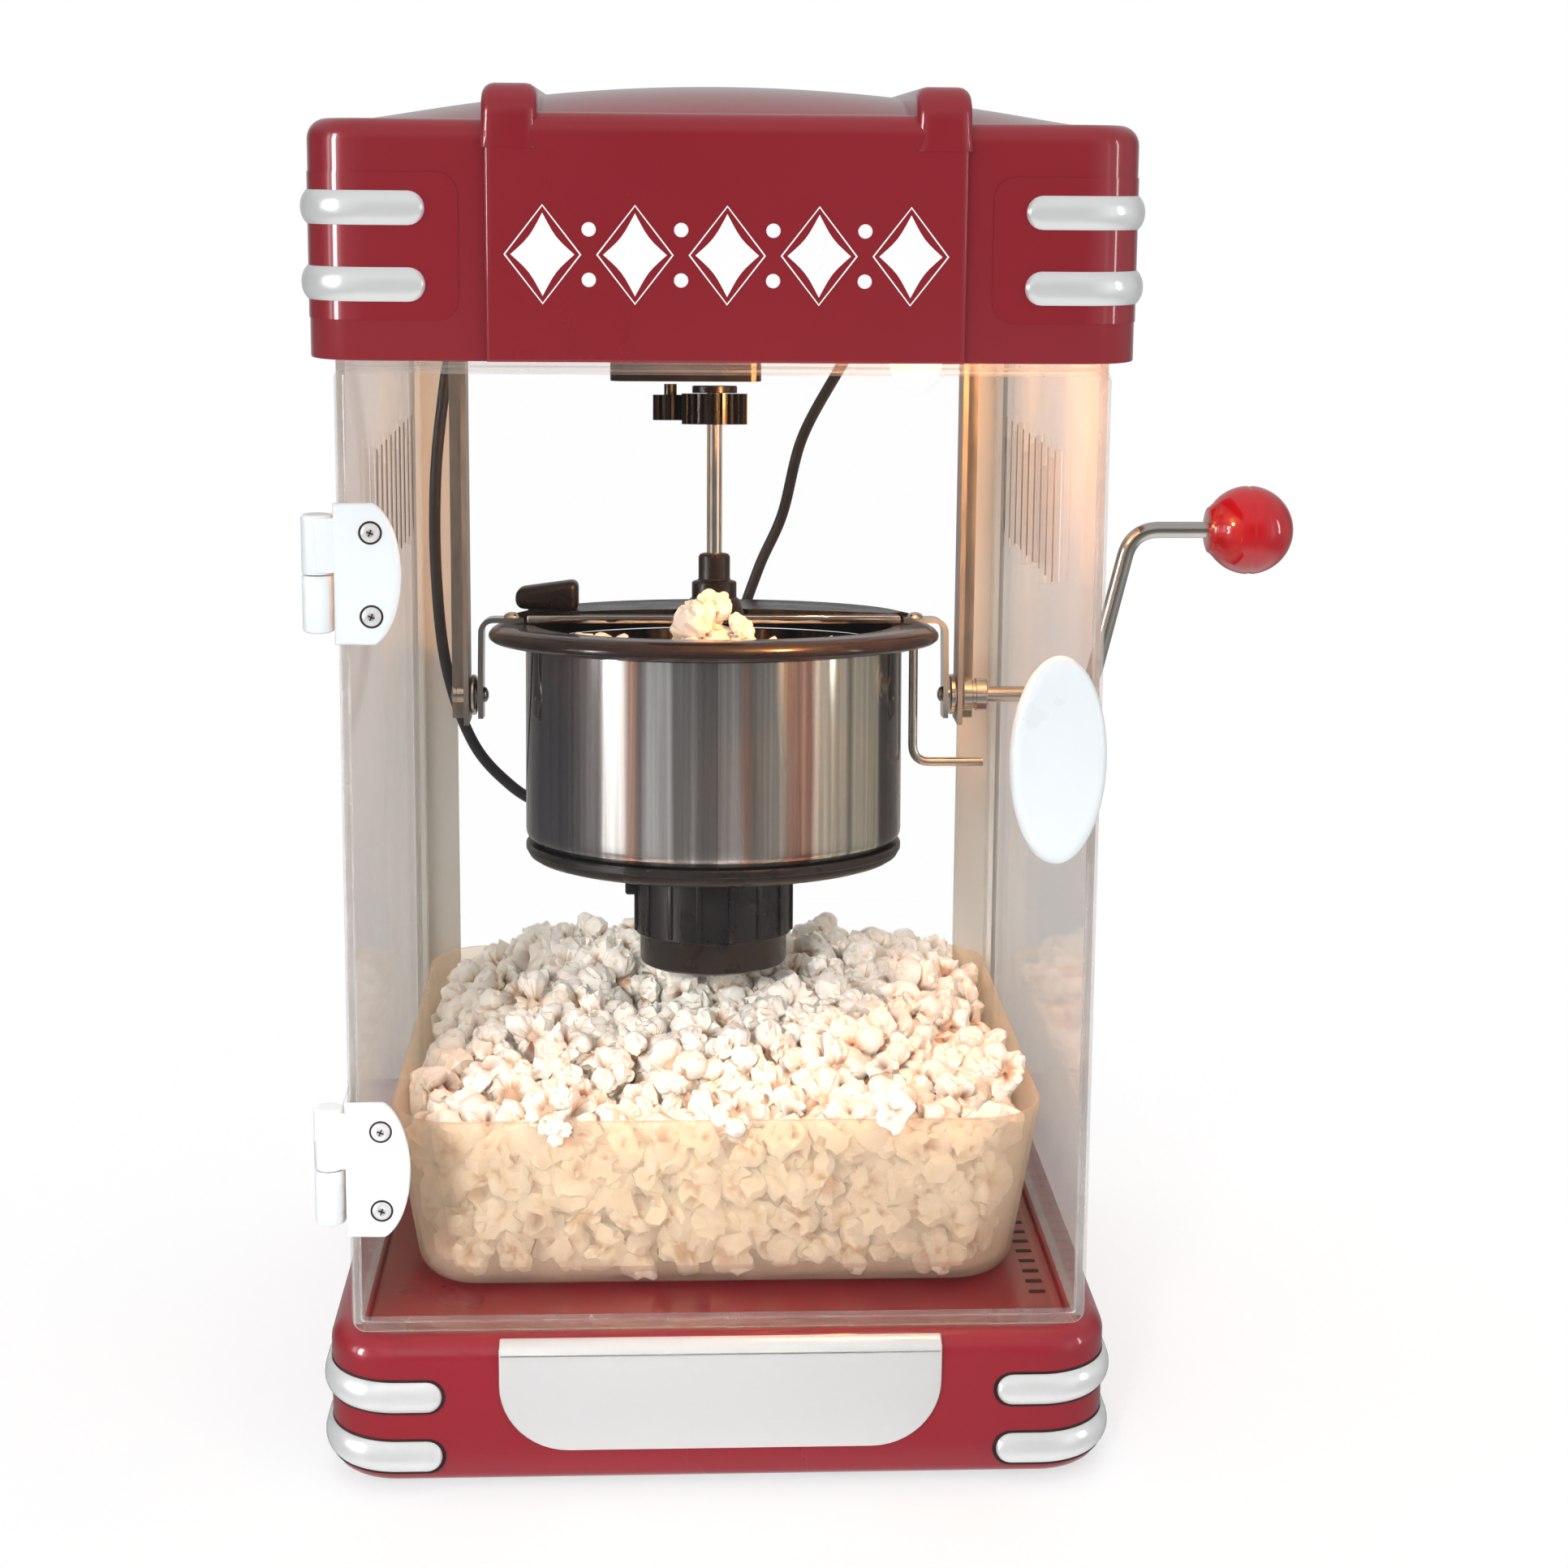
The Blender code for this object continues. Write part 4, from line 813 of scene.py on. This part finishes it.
def door_handle():
    low, high = cad("door_handle")
    middle = (low + high) / 2
    half = (high - low) / 2
    profile = [(0.70, 0.0), (0.72, 3.0), (0.80, 5.6), (0.955, 7.4), (0.99, 8.4), (1.0, 9.6), (0.985, 10.9),
               (0.95, 12.0), (0.90, 12.7), (0.85, high.y - low.y), (0.79, 12.85), (0.72, 12.3), (0.60, 11.5),
               (0.42, 10.8), (0.22, 10.4), (0.08, 10.3)]
    rings = [[(middle.x + half.x * x, high.y - out, middle.z + half.z * z) for x, z in circle(share, 72)]
             for share, out in profile]
    piece("oval_handle", loft(rings), WHITE, "door", stands_for="door_handle", sharp=60)


# Heights of each hinge's knuckles: bottom of the fixed one, the split, top of the door's one.
HINGE_HEIGHTS = {"upper": (299.4, 318.6, 338.7), "lower": (93.1, 112.4, 134.3)}


def hinge(level):
    bottom, split, top = HINGE_HEIGHTS[level]
    pin = INTO_CAB @ Vector(JOINTS["door_hinge"]["pos_m"])
    back = cad("door_panel")[0].y - 0.3
    knuckle_r = 5.3
    barrel = turned([(0, top), (4.5, top), (5.1, top - 0.5), (knuckle_r, top - 1.2), (knuckle_r, split + 1.0),
                     (5.0, split + 0.4), (0, split + 0.35)], 40)
    left = pin.x + knuckle_r + 0.5
    arm = box(pin.x, left + 4, back - 2.0, back - 0.1, split + 1.2, top - 0.8, 0.7)
    leaf = merge(hinge_leaf(level, left, back), move(barrel, pin.x, pin.y, 0), arm)
    piece(f"hinge_leaf_{level}", leaf, WHITE, "door", stands_for=f"door_hinge_leaf_{level}", sharp=38)
    plate_part = box(-130.3, -128.3, -149, -124, bottom + 0.6, top, 0.8)
    barrel = turned([(0, split), (4.9, split), (knuckle_r, split - 0.6), (knuckle_r, bottom + 1.2),
                     (5.0, bottom + 0.4), (4.3, bottom), (0, bottom)], 40)
    link = box(-132.6, -128.3, -153.0, -146.0, bottom + 1, split - 0.8, 0.7)
    fixed = merge(plate_part, move(barrel, pin.x, pin.y, 0), link)
    piece(f"hinge_fixed_{level}", fixed, WHITE, stands_for=f"fixed_hinge_leaf_{level}", sharp=38)
    for end in ("top", "bottom"):
        hinge_screw(f"{level}_{end}")


def hinge_leaf(level, left, back):
    """The door's half of a hinge: a flat leaf with a round outer end and softened edges."""
    low, high = cad(f"door_hinge_leaf_{level}")
    middle, half = (low.z + high.z) / 2, (high.z - low.z) / 2
    width = high.x - left
    centre = width * 0.42
    outline = [(0.0, half - 1.0), (0.0, -half + 1.0)]
    outline += [(width * (0.45 + 0.55 * cos(radians(a))), half * sin(radians(a))) for a in range(-75, 76, 6)]
    rings = []
    for inset, depth in ((0.0, 0.0), (0.0, 1.5), (0.25, 1.95), (0.8, 2.3), (2.0, 2.4)):
        rings.append([(left + centre + (x - centre) * (1 - inset / (width / 2)), back - depth,
                       middle + z * (1 - inset / half)) for x, z in outline])
    return loft(rings)


def hinge_screw(place):
    """A raised screw head, with its cross and the ring round it in near-black painted shade of the recesses.
    """
    low, high = cad(f"hinge_screw_{place}")
    x, z = (low.x + high.x) / 2, (low.z + high.z) / 2
    seat = (x, high.y, z)
    head = turned([(0, 0.85), (0.9, 0.85), (1.3, 1.25), (2.0, 1.15), (2.8, 0.8), (3.2, 0.35), (3.3, 0.0),
                   (0, 0.0)], 40)
    piece(f"screw_{place}", turn_shape(head, "X", 90, seat), SILVER, "door",
          stands_for=f"hinge_screw_{place}", sharp=30)
    recess = turned([(3.0, 0.0), (3.9, 0.0), (3.9, 0.25), (3.0, 0.25)], 40, True)
    slots = [turn_shape(box(-0.22, 0.22, -0.12, 0.12, -1.2, 1.2), "Y", turn, (x, low.y + 0.10, z))
             for turn in (20, 110)]
    piece(f"screw_cross_{place}", merge(turn_shape(recess, "X", 90, seat), *slots), GROOVE_SHADE, "door")


# ---------------------------------------------------------------- kettle

def kettle():
    wall = [(0, -55.5), (66, -55.5), (70.5, -54), (72.5, -50), (72.5, 19.8), (73.0, 20.1), (73.6, 20.1),
            (74.0, 19.8), (74.0, 8.0), (74.0, -20.0), (74.0, -49.5)] + arc(69.0, -52.0, 5.0, 0, -80, 6)
    kettle_piece("pot", turned(wall + [(0, -57.0)], 128), POT, "kettle_pot", 40)
    rim = [(70.0, 20.7), (70.0, 27.2), (70.6, 28.1), (72.0, 28.3), (82.5, 28.3), (84.5, 28.0), (87.2, 26.4),
           (88.3, 25.0), (88.5, 23.9), (88.2, 22.9), (87.0, 21.9), (84.0, 21.2), (78.0, 20.6), (74.8, 20.6)]
    kettle_piece("rim", turned(rim, 128, True), ENAMEL, "kettle_rim")
    ring = [(0, -57.3), (73.2, -57.3), (74.0, -57.9), (74.0, -59.8), (73.4, -60.3), (73.3, -61.0),
            (72.6, -62.3), (70.5, -63.6), (67.5, -64.5), (0, -64.5)]
    kettle_piece("lower_ring", turned(ring, 128), BLACK, "kettle_base_ring")
    can = [(0, -64.8), (30.6, -64.8), (31.0, -65.3), (31.0, -93.5), (30.4, -94.2), (29.2, -94.6),
           (29.0, -95.2), (29.0, -104.6), (28.4, -105.8), (26.8, -106.7), (25.0, -107.0), (0, -107.0)]
    boss = box(-35.0, -28.0, -5, 5, -79.2, -66.8, 1.2)
    grips = [turn_shape(box(30.4, 31.9, -1.0, 1.0, -93.0, -70.0, 0.4, 2), "Z", 22.5 * (i + 0.5))
             for i in range(16)]
    kettle_piece("heater_can", merge(turned(can, 96), boss, *grips), BLACK, "heater_housing")


def lid_and_hub():
    hub = turned([(0, 56.0), (4.4, 56.0), (5.6, 55.6), (6.2, 54.6), (6.2, 46.0), (6.6, 45.4), (8.2, 45.0),
                  (8.8, 44.4), (8.8, 38.6), (9.6, 38.0), (10.2, 37.2), (12.3, 30.4), (12.5, 29.0), (0, 28.9)])
    bar = box(-73.4, 73.4, -6.8, 6.8, 28.7, 31.4, 0.6)
    kettle_piece("crossbar", merge(bar, hub), BLACK, "lid_crossbar")
    kettle_piece("crossbar_edge", box(-73.0, 73.0, -7.3, -6.6, 28.7, 31.7, 0.25), STEEL, sharp=32)
    piece("half_lid", half_lid(), BLACK, "lid", KETTLE, "lid_rear", 35)


def half_lid():
    """Rear half-disc, slightly domed, with a raised edge and a thumb tab."""
    across, around = 14, 36
    radius, hub_r = 80.0, 16.0
    front_y = 8.4
    bm = bmesh.new()
    top, low = [], []
    for j in range(across + 1):
        r = hub_r + (radius - hub_r) * j / across
        spots = [(r * cos(a), max(r * sin(a), front_y)) for a in (pi * i / around for i in range(around + 1))]
        top.append([bm.verts.new((x, y, lid_height(hypot(x, y) / radius))) for x, y in spots])
        low.append([bm.verts.new((x, y, 28.75 if r > 70 else 29.6)) for x, y in spots])
    for j in range(across):
        for i in range(around):
            bm.faces.new((top[j][i], top[j][i + 1], top[j + 1][i + 1], top[j + 1][i]))
            bm.faces.new((low[j][i], low[j + 1][i], low[j + 1][i + 1], low[j][i + 1]))
        bm.faces.new((top[j][0], top[j + 1][0], low[j + 1][0], low[j][0]))
        bm.faces.new((top[j][around], low[j][around], low[j + 1][around], top[j + 1][around]))
    for i in range(around):
        bm.faces.new((top[0][i], low[0][i], low[0][i + 1], top[0][i + 1]))
        bm.faces.new((top[across][i], top[across][i + 1], low[across][i + 1], low[across][i]))
    bmesh.ops.remove_doubles(bm, verts=bm.verts, dist=0.01)
    tab_low, tab_high = -79.0, -54.0
    tab = box(tab_low, tab_high, 14.5, 31.5, 31.0, 44.0, 3.2, 4)
    for v in tab.verts:
        v.co.z -= (tab_high - v.co.x) / (tab_high - tab_low) * (3.4 if v.co.z > 37 else -1.6)
    return merge(bm, tab, box(-74.0, -58.0, 16.0, 30.0, 28.9, 35.0, 1.0))


def lid_height(r):
    """Height of the lid's top at a share of its radius: a low dome with a raised edge."""
    return 31.0 + 2.2 * (1 - r * r) + 0.8 * max(0.0, 1 - ((r - 0.95) / 0.05) ** 2)


def gear_boss():
    boss = [(3.2, 118.7), (8.6, 118.7), (8.8, 118.9), (8.8, 121.2), (8.4, 121.6), (3.2, 121.6)]
    piece("gear_boss", turned(boss, 40, True), BLACK, "stirrer", KETTLE)


def straps():
    """Bent steel straps from the rim down to the pivots, each with two rivets."""
    for side, name in ((-1, "left"), (1, "right")):
        path = [(74.5, 29.7), (86.5, 29.7)] + arc(86.5, 24.9, 4.8, 88, 2, 8) + [(91.5, 10.0), (91.5, -9.0)]
        rings = []
        for i, (x, z, nx, nz) in enumerate(with_normals(path)):
            half_y = 6.0 if i < len(path) - 1 else 5.2
            rings.append([(side * (x + nx * t), y, z + nz * t)
                          for t, y in ((-1, -half_y), (-1, half_y), (1, half_y), (1, -half_y))])
        strap = loft(rings)
        edges = [e for e in strap.edges if e.calc_length() > 1.5 and e.calc_face_angle(0) > 1.2]
        bmesh.ops.bevel(strap, geom=edges, offset=0.25, segments=2, affect="EDGES")
        button = [(0, 2.0), (1.4, 1.8), (2.6, 1.2), (3.2, 0.3), (3.3, 0.0), (0, 0)]
        rivets = [turned(button, 28) for _ in range(2)]
        move(rivets[0], side * 79.5, 0, 30.7)
        turn_shape(rivets[1], "Y", -side * 90, (side * 90.5, 0, 0))
        kettle_piece(f"kettle_strap_{name}", merge(strap, *rivets), STEEL, f"strap_{name}")


def lathe_piece(name, profile, place, stands_for=None, closed=True, degrees=90, sharp=30):
    """A turned steel part lying along the pivots' line, which starts at place."""
    shape = turn_shape(turned(profile, 48, closed), "Y", degrees, (place, 0, 0))
    kettle_piece(name, shape, STEEL, stands_for, sharp, CRANK)


def pivots_and_crank():
    start = 92.8
    pin = [(0, 10.2), (2.6, 10.2), (3.2, 9.6), (3.2, 8.6), (3.0, 8.4), (3.2, 8.2), (3.2, 3.1), (6.8, 2.9),
           (7.9, 2.2), (8.0, 1.4), (7.6, 0.6), (6.4, 0.1), (0, 0)]
    lathe_piece("left_trunnion", pin, -start, "trunnion_left", False, -90)
    low, high = cad("crank_knob")
    radius = (high.z - low.z) / 2
    centre = Vector((high.x - radius, 0, (low.z + high.z) / 2 - PIVOT_Z))
    inner_end = high.x - 2 * radius + 2.0
    route = bent_route([(start, 0, 0), (149, 0, 0), (164.5, 0, centre.z), (inner_end, 0, centre.z)], 11, 14)
    kettle_piece("crank_bar", tube(route, 3.2, 28), STEEL, "crank_rod", 40, CRANK)
    washer = [(3.3, 0.3), (7.6, 0.3), (8.0, 0.9), (8.0, 2.2), (7.4, 2.8), (3.3, 2.9)]
    lathe_piece("pivot_washer", washer, start, sharp=32)
    collar = [(3.3, 0.0), (6.1, 0.0), (6.5, 0.5), (6.5, 3.6), (6.0, 4.0), (6.0, 5.0), (6.5, 5.4), (6.5, 9.3),
              (6.1, 9.8), (3.3, 9.8)]
    lathe_piece("pivot_collar", collar, cad("crank_collar")[0].x, "crank_collar")
    ball = [(radius * sin(radians(a)), radius * cos(radians(a))) for a in range(0, 87, 6)]
    ball += [(radius - 0.22, 0.55), (radius - 0.35, 0.0), (radius - 0.22, -0.55)]
    ball += [(radius * sin(radians(a)), radius * cos(radians(a))) for a in range(94, 147, 6)]
    ball += [(9.4, -15.2), (8.9, -16.1), (7.6, -16.6), (3.4, -16.7), (0.0, -16.7)]
    kettle_piece("crank_ball", turn_shape(turned(ball, 96), "Y", 90, centre), KNOB, "crank_knob", 35, CRANK)
    bush = turned([(3.5, 0.0), (5.2, 0.0), (5.2, 3.6), (8.0, 3.6), (8.5, 4.1), (8.5, 4.9), (8.0, 5.4),
                   (3.9, 5.4), (3.5, 5.0)], 48, True)
    turn_shape(bush, "Y", 90, (cad("crank_bush")[0].x, 0, PIVOT_Z))
    piece("window_bush", bush, WHITE, stands_for="crank_bush", sharp=30)
    route = bent_route([(79, 0, 19), (79, 0, -27), (107, 0, -27)], 7, 12)
    kettle_piece("tilt_stop", tube(route, 1.8), STEEL, "stop_rod", 40)


# ---------------------------------------------------------------- leads, lamp, tub

def leads():
    """Two leads from the ceiling plate to the kettle's lower ring."""
    top = cad("ceiling_plate")[0].z - 0.3
    rear = [(60, 62, top), (59.5, 62, top - 10), (52.5, 68, 370), (38.5, 84, 340), (31, 96, 306),
            (21, 98.5, 282), (11, 98.5, 250), (7, 97, 215), (4, 90, 194), (2, 80.5, 186), (1, 74, 183.5),
            (0.5, 67.5, 182.2)]
    left = [(-104, 32, top), (-104, 32, top - 10), (-107, 32, 366), (-111, 32, 330), (-111.5, 34, 290),
            (-108, 38, 250), (-98, 46, 217), (-83, 54, 197), (-68, 53.5, 188), (-59, 48.5, 186)]
    for name, route in (("rear", rear), ("left", left)):
        obj = make(f"kettle_lead_{name}", tube(smooth_route(route, 3.0), 2.3, 16), RUBBER, CAB)
        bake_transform(obj)
        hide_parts(f"lead_{name}")


def lamp():
    low, high = cad("lamp_bulb")
    radius = 9.0
    glass = [(0, high.z), (5.0, high.z), (5.4, high.z - 3)]
    glass += [(radius * sin(radians(a)), low.z + radius - radius * cos(radians(a)))
              for a in range(110, 0, -10)]
    bm = move(turned(glass + [(0, low.z)], 48), (low.x + high.x) / 2, (low.y + high.y) / 2, 0)
    piece("lit_lamp", bm, BULB, stands_for="lamp_bulb", sharp=40)


def tub_scale(z):
    """Width of the tapered tub at a height, as a share of its width at the top."""
    return TUB_TAPER + (1 - TUB_TAPER) * (z - TUB_LOW.z) / (TUB_HIGH.z - TUB_LOW.z)


def tub():
    z0, z1 = TUB_LOW.z, TUB_HIGH.z
    outer = [(12.0, z0), (9.0, z0 + 0.05)] + arc(9.0, z0 + 9.0, 9.0, 262, 182, 7)
    outer += [(0.0, z0 + 14), (0.0, z0 + 30), (0.0, z0 + 46), (0.0, z1 - 5.6), (0.0, z1 - 2.2)]
    inner = [(0.2, z1 - 0.5), (0.7, z1), (1.5, z1 - 0.2), (1.9, z1 - 0.9), (1.9, z1 - 6), (1.9, z0 + 30),
             (1.9, z0 + 12)] + arc(10.0, z0 + 10.4, 8.3, 182, 262, 7) + [(14.0, z0 + 2.0)]
    rings = []
    for inset, z in outer + inner:
        share = tub_scale(z)
        outline = rounded_rect(-TUB_HIGH.x + inset, TUB_HIGH.x - inset, TUB_LOW.y + inset, TUB_HIGH.y - inset,
                               TUB_CORNER - inset, 10)
        rings.append([(x * share, TUB_MIDDLE + (y - TUB_MIDDLE) * share, z) for x, y in outline])
    piece("corn_tub", loft(rings), TUB_FROSTED, stands_for="popcorn_tub", sharp=40)


# ---------------------------------------------------------------- popcorn

def flake_form(rng):
    """Lobes (centre, radius), brown pits (direction) and flat facets (direction, distance) of a kernel."""
    lobes = []
    count = rng.randint(4, 5)
    for i in range(count):
        a = 2 * pi * i / count + rng.uniform(-0.4, 0.4)
        h = rng.uniform(-0.5, 0.7)
        flat = sqrt(max(0.0, 1 - h * h))
        centre = Vector((cos(a) * flat, sin(a) * flat, h)) * rng.uniform(0.46, 0.62)
        lobes.append((centre, rng.uniform(0.34, 0.50)))
    crown = Vector((rng.uniform(-0.25, 0.25), rng.uniform(-0.25, 0.25), 0.28))
    lobes.append((crown, rng.uniform(0.42, 0.56)))
    pits = [Vector((rng.uniform(-0.6, 0.6), rng.uniform(-0.6, 0.6), -1)).normalized()]
    if rng.random() < 0.6:
        pits.append(Vector((rng.uniform(-1, 1), rng.uniform(-1, 1), 0.6)).normalized())
    facets = []
    for _ in range(11):
        way = Vector((rng.gauss(0, 1), rng.gauss(0, 1), rng.gauss(0, 1))).normalized()
        facets.append((way, rng.uniform(0.58, 0.92)))
    return lobes, pits, facets


def flake(seed, detail):
    """One popped kernel of about unit radius: points, faces, painted shade for each crease and hollow, and
    nearness to the brown hull.
    """
    lobes, pits, facets = flake_form(random.Random(seed))
    bm = bmesh.new()
    bmesh.ops.create_icosphere(bm, subdivisions=detail, radius=1.0)
    points, crease_shading, hulls = [], [], []
    shift = Vector((seed * 3.7, seed * 1.3, 0))
    for v in bm.verts:
        n = (v.co.normalized() + 0.16 * noise.noise_vector(v.co * 1.6 + shift)).normalized()
        reach = []
        for centre, radius in lobes:
            b = n.dot(centre)
            inside = b * b - (centre.length_squared - radius * radius)
            reach.append(b + sqrt(inside) if inside > 0 else 0.36)
        reach.sort(reverse=True)
        crease = exp(-((reach[0] - reach[1]) / 0.06) ** 2)
        fold = exp(-(noise.noise(n * 2.2 + shift) / 0.06) ** 2)
        away = min((n - pit).length for pit in pits)
        lip = exp(-((away - 0.42) / 0.12) ** 2)
        r = min([reach[0]] + [distance / n.dot(way) for way, distance in facets if n.dot(way) > 0.25])
        r += 0.07 * noise.noise(n * 3.2 - shift) + 0.05 * noise.noise(n * 8.0 + shift)
        r += 0.08 * lip - 0.26 * crease - 0.18 * fold
        r = max(r, 0.25) * (1 - 0.6 * exp(-(away / 0.27) ** 2))
        points.append(n * r)
        # Painted shade: darker along each crease and fold and where the surface sinks in.
        crease_shading.append(min(1.0, 0.6 * crease + 0.45 * fold + 0.9 * max(0.0, 1 - r / 0.55)))
        hulls.append(min(1.0, 2.2 * exp(-(away / 0.24) ** 2)))
    faces = [[v.index for v in f.verts] for f in bm.faces]
    bm.free()
    return np.array(points), np.array(faces), np.array(crease_shading), np.array(hulls)


def press(points):
    """Kernels lie flat against the tub's inner walls and floor."""
    share = tub_scale(points[:, 2].clip(TUB_LOW.z, TUB_HIGH.z))
    half_x = (TUB_HIGH.x - 2.6) * share
    half_y = (TUB_HIGH.y - TUB_MIDDLE - 2.6) * share
    held = points[:, 2] < TUB_HIGH.z + 0.5
    points[held, 0] = np.clip(points[held, 0], -half_x[held], half_x[held])
    points[held, 1] = TUB_MIDDLE + np.clip(points[held, 1] - TUB_MIDDLE, -half_y[held], half_y[held])
    points[:, 2] = np.maximum(points[:, 2], TUB_LOW.z + 2.4)


def scatter(name, placed, body, matrix, pressed=False):
    """One mesh of many kernels. Each placing is (x, y, z, radius, detail)."""
    rng = random.Random(len(placed))
    kinds = {d: [flake(10 + k, d) for k in range(14)] for d in {p[4] for p in placed}}
    points, faces, crease_shading, hulls = [], [], [], []
    base = 0
    for x, y, z, radius, detail in placed:
        p, f, c, h = rng.choice(kinds[detail])
        turn = Matrix.Rotation(rng.uniform(0, 6.28), 3, "X") @ Matrix.Rotation(rng.uniform(0, 6.28), 3, "Z")
        turn = np.array(turn @ Matrix.Rotation(rng.uniform(0, 6.28), 3, "Y"))
        stretch = np.array([rng.uniform(0.86, 1.14) for _ in range(3)])
        points.append((p * stretch) @ turn.T * radius + np.array((x, y, z)))
        faces.append(f + base)
        crease_shading.append(np.clip(c * rng.uniform(0.6, 1.2), 0, 1))
        hulls.append(np.clip(h * rng.choice((0.6, 1.0, 1.0)), 0, 1))
        base += len(p)
    points = np.concatenate(points)
    if pressed:
        press(points)
    to_world = np.array(matrix)
    mesh = bpy.data.meshes.new(name)
    mesh.from_pydata(points @ to_world[:3, :3].T + to_world[:3, 3], [], np.concatenate(faces))
    mesh.validate()
    for label, values in (("crease", crease_shading), ("hull", hulls)):
        layer = mesh.attributes.new(label, "FLOAT", "POINT")
        layer.data.foreach_set("value", np.concatenate(values).astype(np.float32))
    mesh.shade_smooth()
    mesh.set_sharp_from_angle(angle=radians(38))
    mesh.materials.append(CORN)
    obj = add_object(name, mesh)
    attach(obj, body)


def heap_top(x, y):
    """Height of the popcorn's surface over the tub's floor plan."""
    u = x / 110.0
    w = (y - 42.0) / (150.0 if y < 42 else 75.0)
    crown = max(0.0, 1 - u * u) ** 0.6 * max(0.0, 1 - w * w)
    dent = 13.0 * exp(-((x * x + (y + 8) ** 2) / 34.0 ** 2))
    ripple = 3.5 * sin(x / 17.0 + 1.0) * cos(y / 21.0)
    return TUB_HIGH.z - 7.0 + 27.0 * crown - dent + ripple * crown


def inside_tub(x, y, z, radius):
    share = tub_scale(min(z, TUB_HIGH.z))
    corner = TUB_CORNER - radius * 0.6
    cx = abs(x) - (TUB_HIGH.x - 2.2) * share + radius * 0.92
    cy = abs(y - TUB_MIDDLE) - (TUB_HIGH.y - TUB_MIDDLE) * share + 2.2 + radius * 0.92
    return max(cx, cy) <= 0 and not (min(cx, cy) > -corner and hypot(cx + corner, cy + corner) > corner)


def above_rim(x, y, z):
    return z > TUB_HIGH.z + 2 and abs(x) < 97 and -106 < y < 74


def tub_popcorn():
    """Three layers under the heap's surface, kernels along the walls, and a few that lie on the rim."""
    rng = random.Random(7)
    placed = []
    pitch = 16.8
    for layer, detail in ((0, 4), (1, 3), (2, 2)):
        drop = layer * 9.5 + 1.0
        y = -112.0 + layer * 4
        row = 0
        while y < 92:
            x = -112.0 + (row % 2) * pitch / 2 + layer * 3
            while x < 113:
                px, py = x + rng.uniform(-3.5, 3.5), y + rng.uniform(-3.5, 3.5)
                radius = rng.uniform(11.6, 15.2)
                pz = heap_top(px, py) - drop - radius * 0.4 + rng.uniform(-3.4, 3.6)
                if inside_tub(px, py, pz, radius * 0.7) or (layer == 0 and above_rim(px, py, pz)):
                    placed.append((px, py, pz, radius, detail))
                x += pitch
            y += pitch * 0.87
            row += 1
    for z in (59.5, 73.5, 88.0, 102.5):
        for x, y in wall_spots(z, rng):
            placed.append((x, y, z + rng.uniform(-3.0, 3.0), rng.uniform(10.4, 13.2), 3))
    scatter("popcorn_heap", placed, "root", CAB, True)
    over = [(-61.0, -117.0, 118.5, 11.5, 4), (-58.0, -121.0, 113.5, 6.5, 4), (5.0, -118.0, 117.5, 8.5, 4),
            (63.0, -116.0, 119.0, 9.5, 3), (106.0, -92.0, 123.0, 10.0, 4)]
    scatter("popcorn_on_rim", over, "root", CAB)


def wall_spots(z, rng):
    """Places for kernels pressed against the tub's walls at one height."""
    share = tub_scale(z)
    half_x = (TUB_HIGH.x - 2.2) * share
    half_y = (TUB_HIGH.y - TUB_MIDDLE) * share - 2.2
    spots = []
    for inset in (9.5, 22.0):
        outline = rounded_rect(-half_x + inset, half_x - inset, TUB_MIDDLE - half_y + inset,
                               TUB_MIDDLE + half_y - inset, 20, 5)
        loop = [Vector(p) for p in outline + outline[:1]]
        walk = rng.uniform(0, 10)
        for p, q in zip(loop, loop[1:]):
            length = (q - p).length
            while walk < length:
                s = p.lerp(q, walk / length)
                spots.append((s.x + rng.uniform(-1, 1), s.y + rng.uniform(-1, 1)))
                walk += 15.6
            walk -= length
    return spots


def kettle_popcorn():
    """A bed of kernels in the open front half of the pot, and three on top of it."""
    rng = random.Random(21)
    reach, back = 60, -14
    placed = []
    for _ in range(60):
        a = radians(rng.uniform(190, 350))
        r = reach * sqrt(rng.uniform(0.02, 1.0))
        x, y = r * cos(a), r * sin(a) - 6
        if hypot(x, y) <= reach and y <= back:
            placed.append((x, y, 14.5 + rng.uniform(-4, 5.5) - 0.02 * abs(x), rng.uniform(8.5, 11.0), 3))
    placed += [(-4.5, -31.0, 27.0, 16.5, 4), (-2.0, -29.0, 36.0, 10.5, 4), (10.0, -31.0, 25.5, 9.5, 4)]
    scatter("popcorn_in_kettle", placed, "kettle", KETTLE)


# ---------------------------------------------------------------- finishes of the CAD nodes that stay

FINISHES = (
    (BLACK, ("bottom_plate", "gearbox", "drive_pinion", "stir_gear", "power_switch", "cord_gland")),
    (GREY, ("ceiling_plate", "rear_post_left", "rear_post_right", "motor")),
    (HANGER_STEEL_AND_SHADE_LINES, ("hanger_left", "hanger_right")),
    (STEEL, ("stirrer",)),
    (WINDOW_CLEAR, ("side_window_left", "side_window_right")),
    (WHITE, ("lamp_socket",)),
    (RUBBER, [name for name in frame["nodes"] if name.startswith("foot_")]))


def finish_nodes():
    for mat, names in FINISHES:
        for name in names:
            materials = frame["nodes"][name].data.materials
            materials.clear()
            materials.append(mat)
    window_edges()


camera()
studio()
floor()
base_cover()
trims("base", BASE_HIGH.x, BASE_LOW.y, BASE_CORNER)
header_cover()
trims("header", HEAD_HIGH.x, HEADER_FRONT, HEADER_CORNER)
ornament()
nameplate()
door_sheet()
door_handle()
for level in HINGE_HEIGHTS:
    hinge(level)
kettle()
lid_and_hub()
gear_boss()
straps()
pivots_and_crank()
leads()
lamp()
tub()
tub_popcorn()
kettle_popcorn()
finish_nodes()
